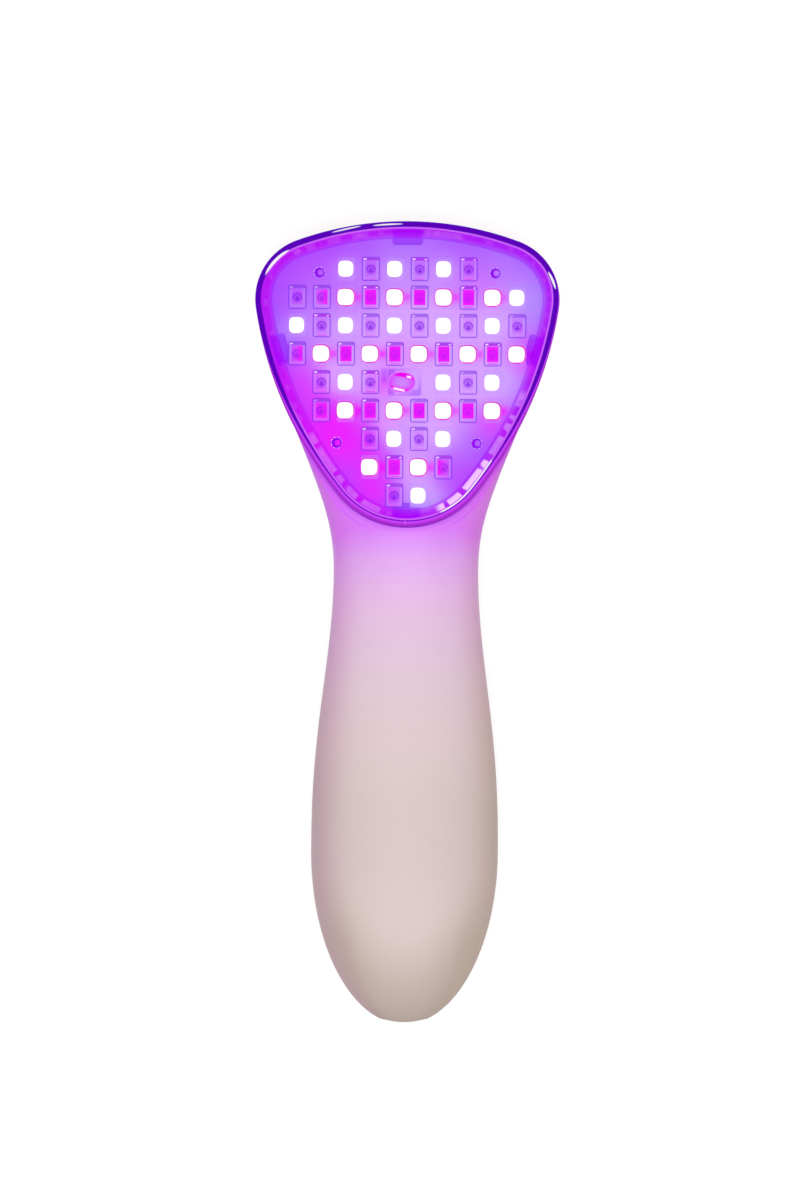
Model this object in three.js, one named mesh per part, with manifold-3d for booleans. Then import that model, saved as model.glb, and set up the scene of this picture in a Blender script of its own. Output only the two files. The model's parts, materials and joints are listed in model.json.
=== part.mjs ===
// Hand-held LED light therapy device, taken apart into the pieces that it is assembled from.
// Millimetres. X runs across the device, Y from the tip of the handle to the crown of the head, and Z from
// the back that it lies on to the light window. The origin is the middle of the footprint.
import * as THREE from 'three';
import { mergeVertices } from 'three/addons/utils/BufferGeometryUtils.js';
import Module from 'manifold-3d';

const wasm = await Module();
wasm.setup();

// Outline, seen from the light side. The handle is as long as the cell and the neck beyond it make it.
const headLength = 65;
const headWidth = 64.8;
const cornerRadius = 13.3;
const cornerDrop = 16.7;
const sideRadius = 82;
const chinRadius = 19;
const gripSide = 9.3;
const gripReach = 36.9;
const neckSide = 4.8;
const neckRise = 12.8;
const chinRise = 9.4;
const shoulderRise = 27;
const coverOverhang = 0.3;
const taperShare = 1.2;
const neckEaseShare = 0.27;
const headEaseShare = 0.57;

// Cell, which the housing is wrapped round
const cellDiameter = 18.4;
const cellLength = 65.2;
const cellGap = 4.1;
const cellClearance = 0.3;
const cellTerminalRadius = 2.7;
const cellTerminalHeight = 0.6;
const cellShoulder = 0.8;
const cellGrooveReach = 2.4;
const cellGrooveDepth = 0.8;
const cradleWall = 1.1;
const cradleEndWall = 1.2;
const cradleOpeningShare = 0.39;

// Housing walls and levels above the surface that the device lies on
const wall = 1.8;
const neckBackLevel = 3.2;
const landDip = 0.8;
const headLandRise = 33;
const neckHeadroom = 1.6;
const gripSwell = 5;
const seatRise = 4;
const seamGap = 0.2;
const tongueHeight = 1;
const tongueGap = 0.15;
const roundShare = 0.9;
const fitGap = 0.3;
const ribThickness = 1.4;
const ribSpacing = 26;

// Clear cover and the stack beneath it
const coverWall = 2;
const coverEdgeWidth = 2.6;
const coverEdgeHeight = 3;
const windowThickness = 1.8;
const windowGap = 1.3;
const pocketGap = 0.25;
const pocketWall = 1.6;
const deckThickness = 1.6;
const deckGap = 2.5;
const gasketThickness = 0.6;
const gasketMargin = 0.5;
const gasketWidth = 1.2;
const clipWidth = 6;
const clipGap = 0.6;
const clipThickness = 1;
const clipNib = 0.7;
const clipNibHeight = 1.2;
const clipSlack = 0.3;
const clipDrop = 28;
const carrierGap = 0.4;
const carrierThickness = 1.4;
const carrierRimWidth = 0.9;
const carrierRimHeight = 1.8;
const boardGap = 0.3;
const boardThickness = 1.2;
const boardNotchDepth = 5.1;
const spreaderInset = 0.9;
const spreaderThickness = 0.8;
const pinDiameter = 2;
const pinProud = 0.6;
const pinClearance = 0.25;
const upperPinInset = 13.7;
const upperPinDrop = 11;
const lowerPinInset = 7.3;
const lowerPinRise = 17.8;
const cableSlotSide = 1;
const cableSlotLength = 4;
const cableSlotGap = 3;
const restGap = 0.1;
const sink = 0.1;

// Light emitters: nine rows on one grid, the sensor in the middle of the fifth
const emitterWidth = 3.8;
const emitterLength = 5.1;
const emitterHeight = 1.5;
const emitterEndSlope = 0.55;
const emitterWellDiameter = 2.3;
const emitterWellDepth = 0.35;
const columnMargin = 9;
const topRowDrop = 10.2;
const bottomRowRise = 6.64;
const rowCounts = [6, 10, 10, 10, 8, 8, 4, 4, 2];
const sensorRow = 4;
const sensorWidth = 7;
const sensorLength = 5.7;
const sensorHeight = 1.2;
const sensorShift = 0.5;
const lensShift = 1.1;
const lensWidth = 5.8;
const lensLength = 4.3;
const lensHeight = 1.1;

// Screws
const screwDiameter = 2;
const screwHeadDiameter = 4;
const screwHeadHeight = 1.4;
const screwEdge = 0.4;
const screwClearance = 0.25;
const bossWall = 1.6;
const housingScrewLength = 8;
const housingScrewSeat = 2;
const upperScrewInset = 11;
const upperScrewDrop = 20;
const lowerScrewInset = 6.3;
const lowerScrewRise = 17;
const trayScrewLength = 5;
const trayEarThickness = 1.4;
const trayEarDrop = 1;
const trayScrewGap = 2.6;

// Power button in the back of the neck, with the switch that it presses
const buttonInset = 7.6;
const buttonDiameter = 11.4;
const buttonClearance = 0.3;
const buttonLandDiameter = 15;
const buttonLandDepth = 0.7;
const buttonRecess = 0.2;
const buttonEdge = 0.5;
const buttonDish = 0.4;
const buttonPadWall = 3;
const buttonPadHeight = 0.8;
const buttonFlangeWidth = 1.2;
const buttonFlangeThickness = 1;
const buttonStemDiameter = 4;
const buttonStemLength = 0.8;
const plungerDiameter = 3.4;
const plungerLength = 2.3;
const plungerProud = 1.1;
const plungerClearance = 0.3;
const switchWidth = 6;
const switchHeight = 3.5;
const switchWellDepth = 2.3;

// Main board in the neck and what is soldered to it
const mainBoardWidth = 22;
const mainBoardLength = 35;
const mainBoardThickness = 1.6;
const mainBoardGap = 4;
const mainBoardHoleInset = 2.6;
const mainBoardPostDiameter = 4.4;
const cableSocketSide = 0.5;
const cableSocketLength = 4;
const cableSocketHeight = 1.8;
const cableSocketInset = 7;
const leadSocketWidth = 6;
const leadSocketLength = 4;
const leadSocketHeight = 2;
const leadSocketOffset = 6;
const leadSocketInset = 5.2;
const chipSize = 7;
const chipHeight = 1;
const chipInset = 12;
const coilSize = 5;
const coilHeight = 2.2;
const indicatorSize = 2;
const indicatorHeight = 0.8;
const indicatorGap = 0.4;
const pipeDiameter = 2.4;
const pipeFlangeDiameter = 3.8;
const pipeFlangeThickness = 0.8;
const pipeRecess = 0.2;
const pipeClearance = 0.2;

// Charging socket at the tip on a small board
const socketWidth = 8.94;
const socketHeight = 3.26;
const socketLength = 7.3;
const socketWall = 0.3;
const socketBack = 1.2;
const socketTongueWidth = 6.7;
const socketTongueThickness = 0.7;
const socketTongueRecess = 0.6;
const socketReach = 1.2;
const portClearance = 0.35;
const chargeBoardReach = 4.5;
const chargeBoardWidth = 12;
const chargeBoardLength = 10;
const chargeBoardThickness = 1;
const chargeScrewInset = 2.2;
const chargeLeadOffset = 4.4;

// Tabs, foam, flat cable and leads
const tabThickness = 0.3;
const tabWidth = 7;
const tabHeight = 12;
const tabRoom = 1;
const foamThickness = 1.4;
const foamLength = 44;
const foamShare = 0.22;
const cableThickness = 0.4;
const cableGap = 1.4;
const leadDiameter = 1.3;
const leadSideGap = 0.95;
const leadRise = 2.6;
const leadEndGap = 0.3;
const leadPitch = 2.4;
const leadBend = 4;

// Cuts run past the faces that they open by this much
const overrun = 2;

// Facets that stand in for the curves
const fewestSides = 6;
const fewSides = 8;
const roundSides = 12;
const fineSides = 24;
const troughSteps = 14;
const leadSteps = 16;
const tipSteps = 8;
const taperSteps = 6;
const shoulderSteps = 5;
const headArcSteps = 5;
const cornerSteps = 6;
const crownSteps = 4;
const shoulderArcSteps = 4;
const rollSteps = 5;
const lensSteps = 4;
const outerRingSteps = 12;
const innerRingSteps = 8;

// Places that follow from the sizes
const cellRadius = cellDiameter / 2;
const cradleInner = cellRadius + cellClearance;
const cradleOuter = cradleInner + cradleWall;
const gripWidth = 2 * (cradleOuter + gripSide);
const neckWidth = 2 * (cradleOuter + neckSide);

const cellReach = chargeBoardReach + chargeBoardLength + cellGap;
const totalLength = cellReach + cellLength + neckRise + chinRise + headLength;
const tipY = -totalLength / 2;
const gripY = tipY + gripReach;
const cellStartY = tipY + cellReach;
const cellEndY = cellStartY + cellLength;
const neckY = cellEndY + neckRise;
const chinY = neckY + chinRise;
const cornerRise = headLength - cornerDrop;
const hubY = chinY + cornerRise;
const cradleStartY = cellStartY - tabRoom - cradleEndWall;
const cradleEndY = cellEndY + tabRoom + cradleEndWall;
const cellMiddleY = (cellStartY + cellEndY) / 2;

const coverHeight = 4 * restGap + carrierThickness + spreaderThickness + boardThickness
  + sensorHeight + lensHeight + windowGap + windowThickness;
const cellLevel = neckBackLevel + wall + cradleOuter;
const neckFrontLevel = cellLevel + cellRadius + neckHeadroom;
const gripFrontLevel = neckFrontLevel + gripSwell;

const buttonLandLevel = neckBackLevel + buttonLandDepth;
const buttonFaceLevel = neckBackLevel + buttonRecess;
const buttonPadLevel = neckBackLevel + wall + buttonPadHeight;
const flangeBottom = buttonPadLevel + restGap;
const flangeTop = flangeBottom + buttonFlangeThickness;
const stemTop = flangeTop + buttonStemLength;
const plungerBottom = stemTop + restGap;
const plungerTop = plungerBottom + plungerLength;
const switchBottom = plungerBottom + plungerProud;
const switchTop = switchBottom + switchHeight;
const mainBoardBottom = switchTop + restGap;
const mainBoardTop = mainBoardBottom + mainBoardThickness;

const deckBottom = mainBoardTop + cableSocketHeight + deckGap;
const seatLevel = deckBottom + deckThickness;
const windowLevel = seatLevel + coverHeight;
const midLevel = seatLevel - seatRise;
const frontBottom = midLevel + seamGap;
const tongueTop = midLevel + tongueHeight;
const coverBottom = seatLevel + gasketThickness + restGap;
const carrierBottom = seatLevel + restGap;
const carrierTop = carrierBottom + carrierThickness;
const spreaderBottom = carrierTop + restGap;
const spreaderTop = spreaderBottom + spreaderThickness;
const boardBottom = spreaderTop + restGap;
const boardTop = boardBottom + boardThickness;

const mainBoardStartY = cradleEndY + mainBoardGap;
const mainBoardEndY = mainBoardStartY + mainBoardLength;
const buttonY = mainBoardStartY + buttonInset;
const buttonPadRadius = buttonDiameter / 2 + buttonPadWall;
const indicatorY = buttonY + buttonPadRadius + indicatorGap + pipeFlangeDiameter / 2;
const cableSlotRise = mainBoardEndY + cableSlotGap - chinY;
const leadSocketY = mainBoardStartY + leadSocketInset;

const socketStartY = tipY + socketReach;
const socketEndY = socketStartY + socketLength;
const socketBottom = midLevel - socketHeight / 2;
const chargeBoardTop = socketBottom - restGap;
const chargeBoardBottom = chargeBoardTop - chargeBoardThickness;
const chargeBoardStartY = tipY + chargeBoardReach;
const chargeBoardEndY = chargeBoardStartY + chargeBoardLength;

const clipInset = coverWall + clipGap;
const carrierMargin = coverWall + carrierGap;
const boardMargin = carrierMargin + carrierRimWidth + boardGap;
const spreaderMargin = boardMargin + spreaderInset;

const pinRadius = pinDiameter / 2;
const screwRadius = screwDiameter / 2;
const screwHeadRadius = screwHeadDiameter / 2;
const screwHoleRadius = screwRadius + screwClearance;
const bossRadius = screwHoleRadius + bossWall;

const trayEarLevel = cellLevel - cradleOuter * Math.cos(Math.PI * cradleOpeningShare) - trayEarDrop;
const trayScrewX = cradleOuter + trayScrewGap;
const trayScrewTop = trayEarLevel + 2 * restGap + trayEarThickness + screwHeadHeight;
const leadX = cradleOuter + leadSideGap + leadDiameter / 2;
const leadLevel = trayScrewTop + leadEndGap + leadDiameter / 2;

// Materials
function finish(color, roughness, metalness = 0) {
  return new THREE.MeshStandardMaterial({ color, roughness, metalness });
}

const finishes = {
  housing: finish('#e6dcd8', 0.45),
  clear: finish('#8a3be0', 0.06),
  lens: finish('#e6c8ff', 0.05),
  emitterBoard: finish('#b98cff', 0.35),
  carrier: finish('#e9e4f2', 0.5),
  aluminium: finish('#c3c6ca', 0.35, 1),
  steel: finish('#8f9296', 0.3, 1),
  nickel: finish('#b9b4a8', 0.3, 1),
  mainBoard: finish('#1f6b43', 0.5),
  blackPlastic: finish('#1c1c1f', 0.5),
  button: finish('#d9d2d0', 0.4),
  silicone: finish('#f1efee', 0.7),
  cell: finish('#3f7fc4', 0.4),
  foam: finish('#2a2a2c', 0.95),
  cable: finish('#d8b36a', 0.5),
  redLead: finish('#c3221f', 0.5),
  blackLead: finish('#161617', 0.5),
};

// Solids: three.js shapes turned into closed solids that can be joined and cut
function solidOf(geometry) {
  const bare = new THREE.BufferGeometry();
  bare.setAttribute('position', geometry.getAttribute('position'));
  bare.setIndex(geometry.getIndex());
  const welded = mergeVertices(bare);
  const corners = welded.getIndex().array;
  const kept = [];
  for (let i = 0; i < corners.length; i += 3) {
    const [a, b, c] = [corners[i], corners[i + 1], corners[i + 2]];
    if (a !== b && b !== c && c !== a) {
      kept.push(a, b, c);
    }
  }
  return new wasm.Manifold(new wasm.Mesh({
    numProp: 3,
    vertProperties: new Float32Array(welded.getAttribute('position').array),
    triVerts: new Uint32Array(kept),
  }));
}

function geometryOf(solid) {
  const mesh = solid.getMesh();
  const geometry = new THREE.BufferGeometry();
  geometry.setAttribute('position', new THREE.BufferAttribute(mesh.vertProperties, 3));
  geometry.setIndex(new THREE.BufferAttribute(mesh.triVerts, 1));
  geometry.computeVertexNormals();
  return geometry;
}

function joined(first, ...others) {
  return others.reduce((sum, solid) => sum.add(solid), first);
}

function cut(base, ...tools) {
  return tools.reduce((rest, tool) => rest.subtract(tool), base);
}

function box(fromX, toX, fromY, toY, fromZ, toZ) {
  const geometry = new THREE.BoxGeometry(toX - fromX, toY - fromY, toZ - fromZ);
  geometry.translate((fromX + toX) / 2, (fromY + toY) / 2, (fromZ + toZ) / 2);
  return solidOf(geometry);
}

function slab(width, fromY, toY, fromZ, toZ) {
  return box(-width / 2, width / 2, fromY, toY, fromZ, toZ);
}

function column(radius, x, y, fromZ, toZ, sides = roundSides) {
  const geometry = new THREE.CylinderGeometry(radius, radius, toZ - fromZ, sides);
  geometry.rotateX(Math.PI / 2);
  geometry.translate(x, y, (fromZ + toZ) / 2);
  return solidOf(geometry);
}

// Revolves [radius, level] pairs, listed upwards, about the vertical through (x, y)
function revolved(profile, x, y, sides = roundSides) {
  const geometry = new THREE.LatheGeometry(profile.map(([r, z]) => new THREE.Vector2(r, z)), sides);
  geometry.rotateX(Math.PI / 2);
  geometry.translate(x, y, 0);
  return solidOf(geometry);
}

function prism(points, fromZ, toZ) {
  const geometry = new THREE.ExtrudeGeometry(new THREE.Shape(points), {
    depth: toZ - fromZ,
    bevelEnabled: false,
  });
  geometry.translate(0, 0, fromZ);
  return solidOf(geometry);
}

// Extrudes an outline in X and Z along the device
function alongY(points, fromY, toY) {
  const geometry = new THREE.ExtrudeGeometry(new THREE.Shape(points), {
    depth: toY - fromY,
    bevelEnabled: false,
  });
  geometry.rotateX(Math.PI / 2);
  geometry.translate(0, toY, 0);
  return solidOf(geometry);
}

// Extrudes an outline in Y and Z across the device
function acrossX(points, width) {
  const geometry = new THREE.ExtrudeGeometry(new THREE.Shape(points), {
    depth: width,
    bevelEnabled: false,
  });
  geometry.rotateY(Math.PI / 2);
  geometry.rotateX(Math.PI / 2);
  geometry.translate(-width / 2, 0, 0);
  return solidOf(geometry);
}

// Points on an arc, with both of its ends
function arc(centre, radius, fromAngle, toAngle, count) {
  const points = [];
  for (let i = 0; i <= count; i += 1) {
    const angle = fromAngle + ((toAngle - fromAngle) * i) / count;
    points.push(new THREE.Vector2(
      centre.x + radius * Math.cos(angle),
      centre.y + radius * Math.sin(angle),
    ));
  }
  return points;
}

function circle(radius, sides, x = 0, y = 0) {
  return arc(new THREE.Vector2(x, y), radius, 0, 2 * Math.PI, sides).slice(1);
}

// An outline with half-round ends, as wide as given, about (0, level)
function stadium(width, height, level) {
  const radius = height / 2;
  const reach = width / 2 - radius;
  return [
    ...arc(new THREE.Vector2(reach, level), radius, -Math.PI / 2, Math.PI / 2, fewestSides),
    ...arc(new THREE.Vector2(-reach, level), radius, Math.PI / 2, (3 * Math.PI) / 2, fewestSides),
  ];
}

// Closes a right half, listed upwards from one axis point to the other, with its mirror image
function mirrored(half) {
  const left = half.slice(1, -1).reverse().map((point) => new THREE.Vector2(-point.x, point.y));
  return [...half, ...left];
}

// Skins a stack of closed rings with equal counts of points, listed upwards, and caps both ends
function skinned(rings) {
  const count = rings[0].length;
  const positions = rings.flatMap((ring) => ring.flatMap((point) => [point.x, point.y, point.z]));
  const index = [];
  for (let level = 0; level < rings.length - 1; level += 1) {
    for (let i = 0; i < count; i += 1) {
      const next = (i + 1) % count;
      const [a, b] = [level * count + i, level * count + next];
      index.push(a, b, b + count, a, b + count, a + count);
    }
  }
  const rim = rings[0].map((point) => new THREE.Vector2(point.x, point.y));
  const cap = THREE.ShapeUtils.triangulateShape(rim, []);
  const top = (rings.length - 1) * count;
  for (const [a, b, c] of cap) {
    index.push(a, c, b, top + a, top + b, top + c);
  }
  const geometry = new THREE.BufferGeometry();
  geometry.setAttribute('position', new THREE.Float32BufferAttribute(positions, 3));
  geometry.setIndex(index);
  return solidOf(geometry);
}

// Runs a round or flat section along a smooth path
function swept(section, path, steps) {
  const geometry = new THREE.ExtrudeGeometry(new THREE.Shape(section), {
    steps,
    extrudePath: new THREE.CatmullRomCurve3(path),
    bevelEnabled: false,
  });
  return solidOf(geometry);
}

function piece(name, solid, material) {
  const mesh = new THREE.Mesh(geometryOf(solid), material);
  mesh.name = name;
  return mesh;
}

// Outline of the head: chin, sides, corners and crown are arcs that meet smoothly.
// The chin is the origin of the head's own sizes.
const head = (() => {
  const corner = new THREE.Vector2(headWidth / 2 - cornerRadius, cornerRise);
  const chin = new THREE.Vector2(0, chinRadius);
  const drop = cornerRise - headLength;
  const crownRadius = (cornerRadius ** 2 - corner.x ** 2 - drop ** 2) / (2 * drop + 2 * cornerRadius);
  const crown = new THREE.Vector2(0, headLength - crownRadius);
  const toCorner = sideRadius - cornerRadius;
  const toChin = sideRadius - chinRadius;
  const span = corner.distanceTo(chin);
  const along = (toCorner ** 2 - toChin ** 2 + span ** 2) / (2 * span);
  const aside = Math.sqrt(toCorner ** 2 - along ** 2);
  const direction = chin.clone().sub(corner).divideScalar(span);
  const side = new THREE.Vector2(
    corner.x + direction.x * along + direction.y * aside,
    corner.y + direction.y * along - direction.x * aside,
  );
  return { corner, chin, crown, crownRadius, side };
})();

function bearing(from, to) {
  return Math.atan2(to.y - from.y, to.x - from.x);
}

const crownAngle = bearing(head.crown, head.corner);
const cornerAngle = bearing(head.side, head.corner);
const chinAngle = bearing(head.side, head.chin);
const shoulderAngle = Math.asin((shoulderRise - head.side.y) / sideRadius);

// Half the width of the head where its sides are, at a rise above the chin
function sideReach(rise) {
  return head.side.x + Math.sqrt(sideRadius ** 2 - (rise - head.side.y) ** 2);
}

// Corner and crown of the head from the side arc up, grown outwards by an offset
function headTop(offset) {
  return [
    ...arc(head.corner, cornerRadius + offset, cornerAngle, crownAngle, cornerSteps).slice(1),
    ...arc(head.crown, head.crownRadius + offset, crownAngle, Math.PI / 2, crownSteps).slice(1, -1),
    new THREE.Vector2(0, headLength + offset),
  ];
}

function headOutline(offset) {
  return mirrored([
    new THREE.Vector2(0, -offset),
    ...arc(head.chin, chinRadius + offset, -Math.PI / 2, chinAngle, headArcSteps).slice(1),
    ...arc(head.side, sideRadius + offset, chinAngle, cornerAngle, headArcSteps).slice(1),
    ...headTop(offset),
  ]);
}

// Right half of the housing's outline from the tip of the handle to the crown of the head
function housingHalf() {
  const points = [];
  for (let i = 0; i < tipSteps; i += 1) {
    const angle = (Math.PI / 2) * (i / tipSteps);
    points.push(new THREE.Vector2(
      (gripWidth / 2) * Math.sin(angle),
      gripY - gripReach * Math.cos(angle),
    ));
  }
  for (let i = 0; i < taperSteps; i += 1) {
    const y = THREE.MathUtils.lerp(gripY, neckY, i / taperSteps);
    points.push(new THREE.Vector2(THREE.MathUtils.lerp(gripWidth, neckWidth, taper(y)) / 2, y));
  }
  const sideArc = arc(
    head.side,
    sideRadius - coverOverhang,
    shoulderAngle,
    cornerAngle,
    shoulderArcSteps,
  );
  const waist = new THREE.Vector2(neckWidth / 2, neckY);
  const shoulder = sideArc[0].clone().add(new THREE.Vector2(0, chinY));
  const span = waist.distanceTo(shoulder);
  const curve = new THREE.CubicBezierCurve(
    waist,
    new THREE.Vector2(waist.x, waist.y + span * neckEaseShare),
    new THREE.Vector2(
      shoulder.x + span * headEaseShare * Math.sin(shoulderAngle),
      shoulder.y - span * headEaseShare * Math.cos(shoulderAngle),
    ),
    shoulder,
  );
  points.push(...curve.getPoints(shoulderSteps).slice(0, -1));
  for (const point of [...sideArc, ...headTop(-coverOverhang)]) {
    points.push(new THREE.Vector2(point.x, point.y + chinY));
  }
  return points;
}

// Moves a half outline inwards along its normals, its ends along the axis
function insetHalf(half, distance) {
  const last = half.length - 1;
  return half.map((point, i) => {
    if (i === 0 || i === last) {
      return new THREE.Vector2(0, point.y + (i === 0 ? distance : -distance));
    }
    const heading = half[i + 1].clone().sub(half[i - 1]).normalize();
    return new THREE.Vector2(point.x - heading.y * distance, point.y + heading.x * distance);
  });
}

// The half outline of hidden faces, with every other point
function innerHalf(inset) {
  const half = insetHalf(housingHalf(), inset);
  return half.filter((_, i) => i % 2 === 0 || i === half.length - 1);
}

function eased(share) {
  return (1 - Math.cos(Math.PI * THREE.MathUtils.clamp(share, 0, 1))) / 2;
}

// How far the grip has narrowed to the neck, from 0 to 1
function taper(y) {
  return eased(THREE.MathUtils.clamp((y - gripY) / (neckY - gripY), 0, 1) ** taperShare);
}

// Levels of the housing's back, widest place and front along its middle
function levelsAt(y) {
  if (y < gripY) {
    const swell = Math.sqrt(Math.max(0, 1 - ((gripY - y) / gripReach) ** 2));
    return {
      back: THREE.MathUtils.lerp(midLevel, -landDip, swell),
      mid: midLevel,
      front: THREE.MathUtils.lerp(midLevel, gripFrontLevel, swell),
    };
  }
  const rise = eased((y - neckY) / (chinY + headLandRise - neckY));
  return {
    back: y < neckY
      ? THREE.MathUtils.lerp(-landDip, neckBackLevel, taper(y))
      : THREE.MathUtils.lerp(neckBackLevel, -landDip, rise),
    mid: THREE.MathUtils.lerp(midLevel, seatLevel, rise),
    front: THREE.MathUtils.lerp(gripFrontLevel, neckFrontLevel, taper(y)),
  };
}

// The housing's rounded form over its outline: round sections along the handle, which fan out round the
// head from the level of its corners. An inset gives the form that lies that far inside the first.
function pillow(half, inset, ringCount) {
  const corners = [];
  for (const point of half) {
    const hub = Math.min(point.y, hubY);
    const levels = levelsAt(hub);
    for (let ring = 0; ring <= ringCount; ring += 1) {
      const angle = Math.PI * (ring / ringCount - 1 / 2);
      const reach = Math.max(0, Math.cos(angle)) ** roundShare;
      const depth = angle < 0 ? levels.mid - levels.back : levels.front - levels.mid;
      const lift = Math.sign(angle) * Math.abs(Math.sin(angle)) ** roundShare * Math.max(0, depth - inset);
      const onAxis = ring === 0 || ring === ringCount;
      corners.push([
        onAxis ? 0 : point.x * reach,
        onAxis ? hub : hub + (point.y - hub) * reach,
        levels.mid + lift,
      ]);
    }
  }
  const rowLength = ringCount + 1;
  const leftStart = corners.length;
  const positions = [...corners.flat(), ...corners.flatMap(([x, y, z]) => [0 - x, y, z])];
  const index = [];
  for (let i = 0; i < half.length - 1; i += 1) {
    for (let ring = 0; ring < ringCount; ring += 1) {
      const [a, b] = [i * rowLength + ring, (i + 1) * rowLength + ring];
      index.push(a, b, b + 1, a, b + 1, a + 1);
      const [c, d] = [a + leftStart, b + leftStart];
      index.push(c, d + 1, d, c, c + 1, d + 1);
    }
  }
  const geometry = new THREE.BufferGeometry();
  geometry.setAttribute('position', new THREE.Float32BufferAttribute(positions, 3));
  geometry.setIndex(index);
  return solidOf(geometry);
}

// A slab as wide and long as the device and more, for taking what lies above or below a level
function everything(fromZ, toZ) {
  return slab(headWidth + overrun, tipY - overrun, -tipY + overrun, fromZ, toZ);
}

const aboveAll = windowLevel + gripSwell + overrun;
const belowAll = -landDip - overrun;
const outerBody = cut(pillow(housingHalf(), 0, outerRingSteps), everything(belowAll, 0));
const innerBody = cut(pillow(innerHalf(wall), wall, innerRingSteps), everything(belowAll, wall));
const roomInset = wall + fitGap;
const roomBody = cut(
  pillow(innerHalf(roomInset), roomInset, innerRingSteps),
  everything(belowAll, roomInset),
);
const ribInset = wall - sink;
const ribBody = cut(pillow(innerHalf(ribInset), ribInset, innerRingSteps), everything(belowAll, ribInset));

// A vertical-sided solid over the head's outline, in the device's own frame
function headBlock(offset, fromZ, toZ) {
  const points = headOutline(offset).map((point) => new THREE.Vector2(point.x, point.y + chinY));
  return prism(points, fromZ, toZ);
}

function housingBlock(inset, fromZ, toZ) {
  return prism(mirrored(innerHalf(inset)), fromZ, toZ);
}

// Clips of the cover at the crown, the chin and both sides. Each spot is a point on the outline with the
// heading that leads inwards from it.
const clipSpots = (() => {
  const y = headLength - clipDrop;
  const x = sideReach(y);
  const angle = Math.asin((y - head.side.y) / sideRadius);
  return [
    { x: 0, y: headLength, heading: -Math.PI / 2 },
    { x: 0, y: 0, heading: Math.PI / 2 },
    { x, y, heading: angle + Math.PI },
    { x: -x, y, heading: -angle },
  ];
})();

// A box at a clip's spot, between two distances inwards from the outline of the head
function clipBlock(spot, width, fromInset, toInset, fromZ, toZ) {
  const geometry = new THREE.BoxGeometry(toInset - fromInset, width, toZ - fromZ);
  geometry.translate((fromInset + toInset) / 2, 0, (fromZ + toZ) / 2);
  geometry.rotateZ(spot.heading);
  geometry.translate(spot.x, spot.y, 0);
  return solidOf(geometry);
}

function clipRow(width, fromInset, toInset, fromZ, toZ, rise = 0) {
  return clipSpots.map((spot) => clipBlock(
    { ...spot, y: spot.y + rise },
    width,
    fromInset,
    toInset,
    fromZ,
    toZ,
  ));
}

const clipEnd = clipInset + clipThickness;
const clipSlotWidth = clipWidth + 2 * clipSlack;
const clipBottom = deckBottom - clipSlack - clipNibHeight;

// Places of the screws
const upperScrewRise = headLength - upperScrewDrop;
const upperScrewX = sideReach(upperScrewRise) - upperScrewInset;
const lowerScrewX = sideReach(lowerScrewRise) - lowerScrewInset;
const housingScrewSpots = {
  housing_screw_upper_left: [-upperScrewX, chinY + upperScrewRise],
  housing_screw_upper_right: [upperScrewX, chinY + upperScrewRise],
  housing_screw_lower_left: [-lowerScrewX, chinY + lowerScrewRise],
  housing_screw_lower_right: [lowerScrewX, chinY + lowerScrewRise],
};
const housingSeatLevel = seatLevel - housingScrewSeat;
const cradleScrewSpots = {
  cradle_screw_left: [-trayScrewX, cellMiddleY],
  cradle_screw_right: [trayScrewX, cellMiddleY],
};
const mainBoardHoleX = mainBoardWidth / 2 - mainBoardHoleInset;
const cableWidth = 2 * (mainBoardHoleX - screwHeadRadius - cableGap);
const cableSlotWidth = cableWidth + 2 * cableSlotSide;
const mainBoardHoles = [
  [-mainBoardHoleX, mainBoardEndY - mainBoardHoleInset],
  [mainBoardHoleX, mainBoardEndY - mainBoardHoleInset],
];
const mainBoardRests = [
  [-mainBoardHoleX, mainBoardStartY + mainBoardHoleInset],
  [mainBoardHoleX, mainBoardStartY + mainBoardHoleInset],
];
const chargeScrewSpot = [0, chargeBoardEndY - chargeScrewInset];
const upperPinX = headWidth / 2 - upperPinInset;
const lowerPinX = sideReach(lowerPinRise) - lowerPinInset;
const pinSpots = [
  [-upperPinX, headLength - upperPinDrop],
  [upperPinX, headLength - upperPinDrop],
  [-lowerPinX, lowerPinRise],
  [lowerPinX, lowerPinRise],
];

function screw(name, [x, y], seat, length) {
  const solid = revolved([
    [0, -length],
    [screwRadius - screwEdge, -length],
    [screwRadius, screwEdge - length],
    [screwRadius, 0],
    [screwHeadRadius, 0],
    [screwHeadRadius, screwHeadHeight - screwEdge],
    [screwHeadRadius - screwEdge, screwHeadHeight],
    [0, screwHeadHeight],
  ], 0, 0, fewSides);
  const mesh = piece(name, solid, finishes.steel);
  mesh.position.set(x, y, seat + restGap);
  return mesh;
}

// Slot that the flat cable passes through, in the head's own frame unless it is moved up by a rise
function cableSlot(fromZ, toZ, rise = 0) {
  const middle = cableSlotRise + rise;
  return slab(cableSlotWidth, middle - cableSlotLength / 2, middle + cableSlotLength / 2, fromZ, toZ);
}

// Socket opening, half in each shell
function portCut() {
  const opening = stadium(socketWidth + 2 * portClearance, socketHeight + 2 * portClearance, midLevel);
  return alongY(opening, tipY - overrun, socketEndY);
}

// Ribs across the grip that hold the cell and its cradle
function gripRibs(radius, fromZ, toZ) {
  const rows = [cellMiddleY - ribSpacing / 2, cellMiddleY + ribSpacing / 2];
  const space = alongY(circle(radius, fineSides, 0, cellLevel), tipY, cradleEndY);
  return rows.map((y) => cut(
    ribBody.intersect(slab(gripWidth, y - ribThickness / 2, y + ribThickness / 2, fromZ, toZ)),
    space,
  ));
}

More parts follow.
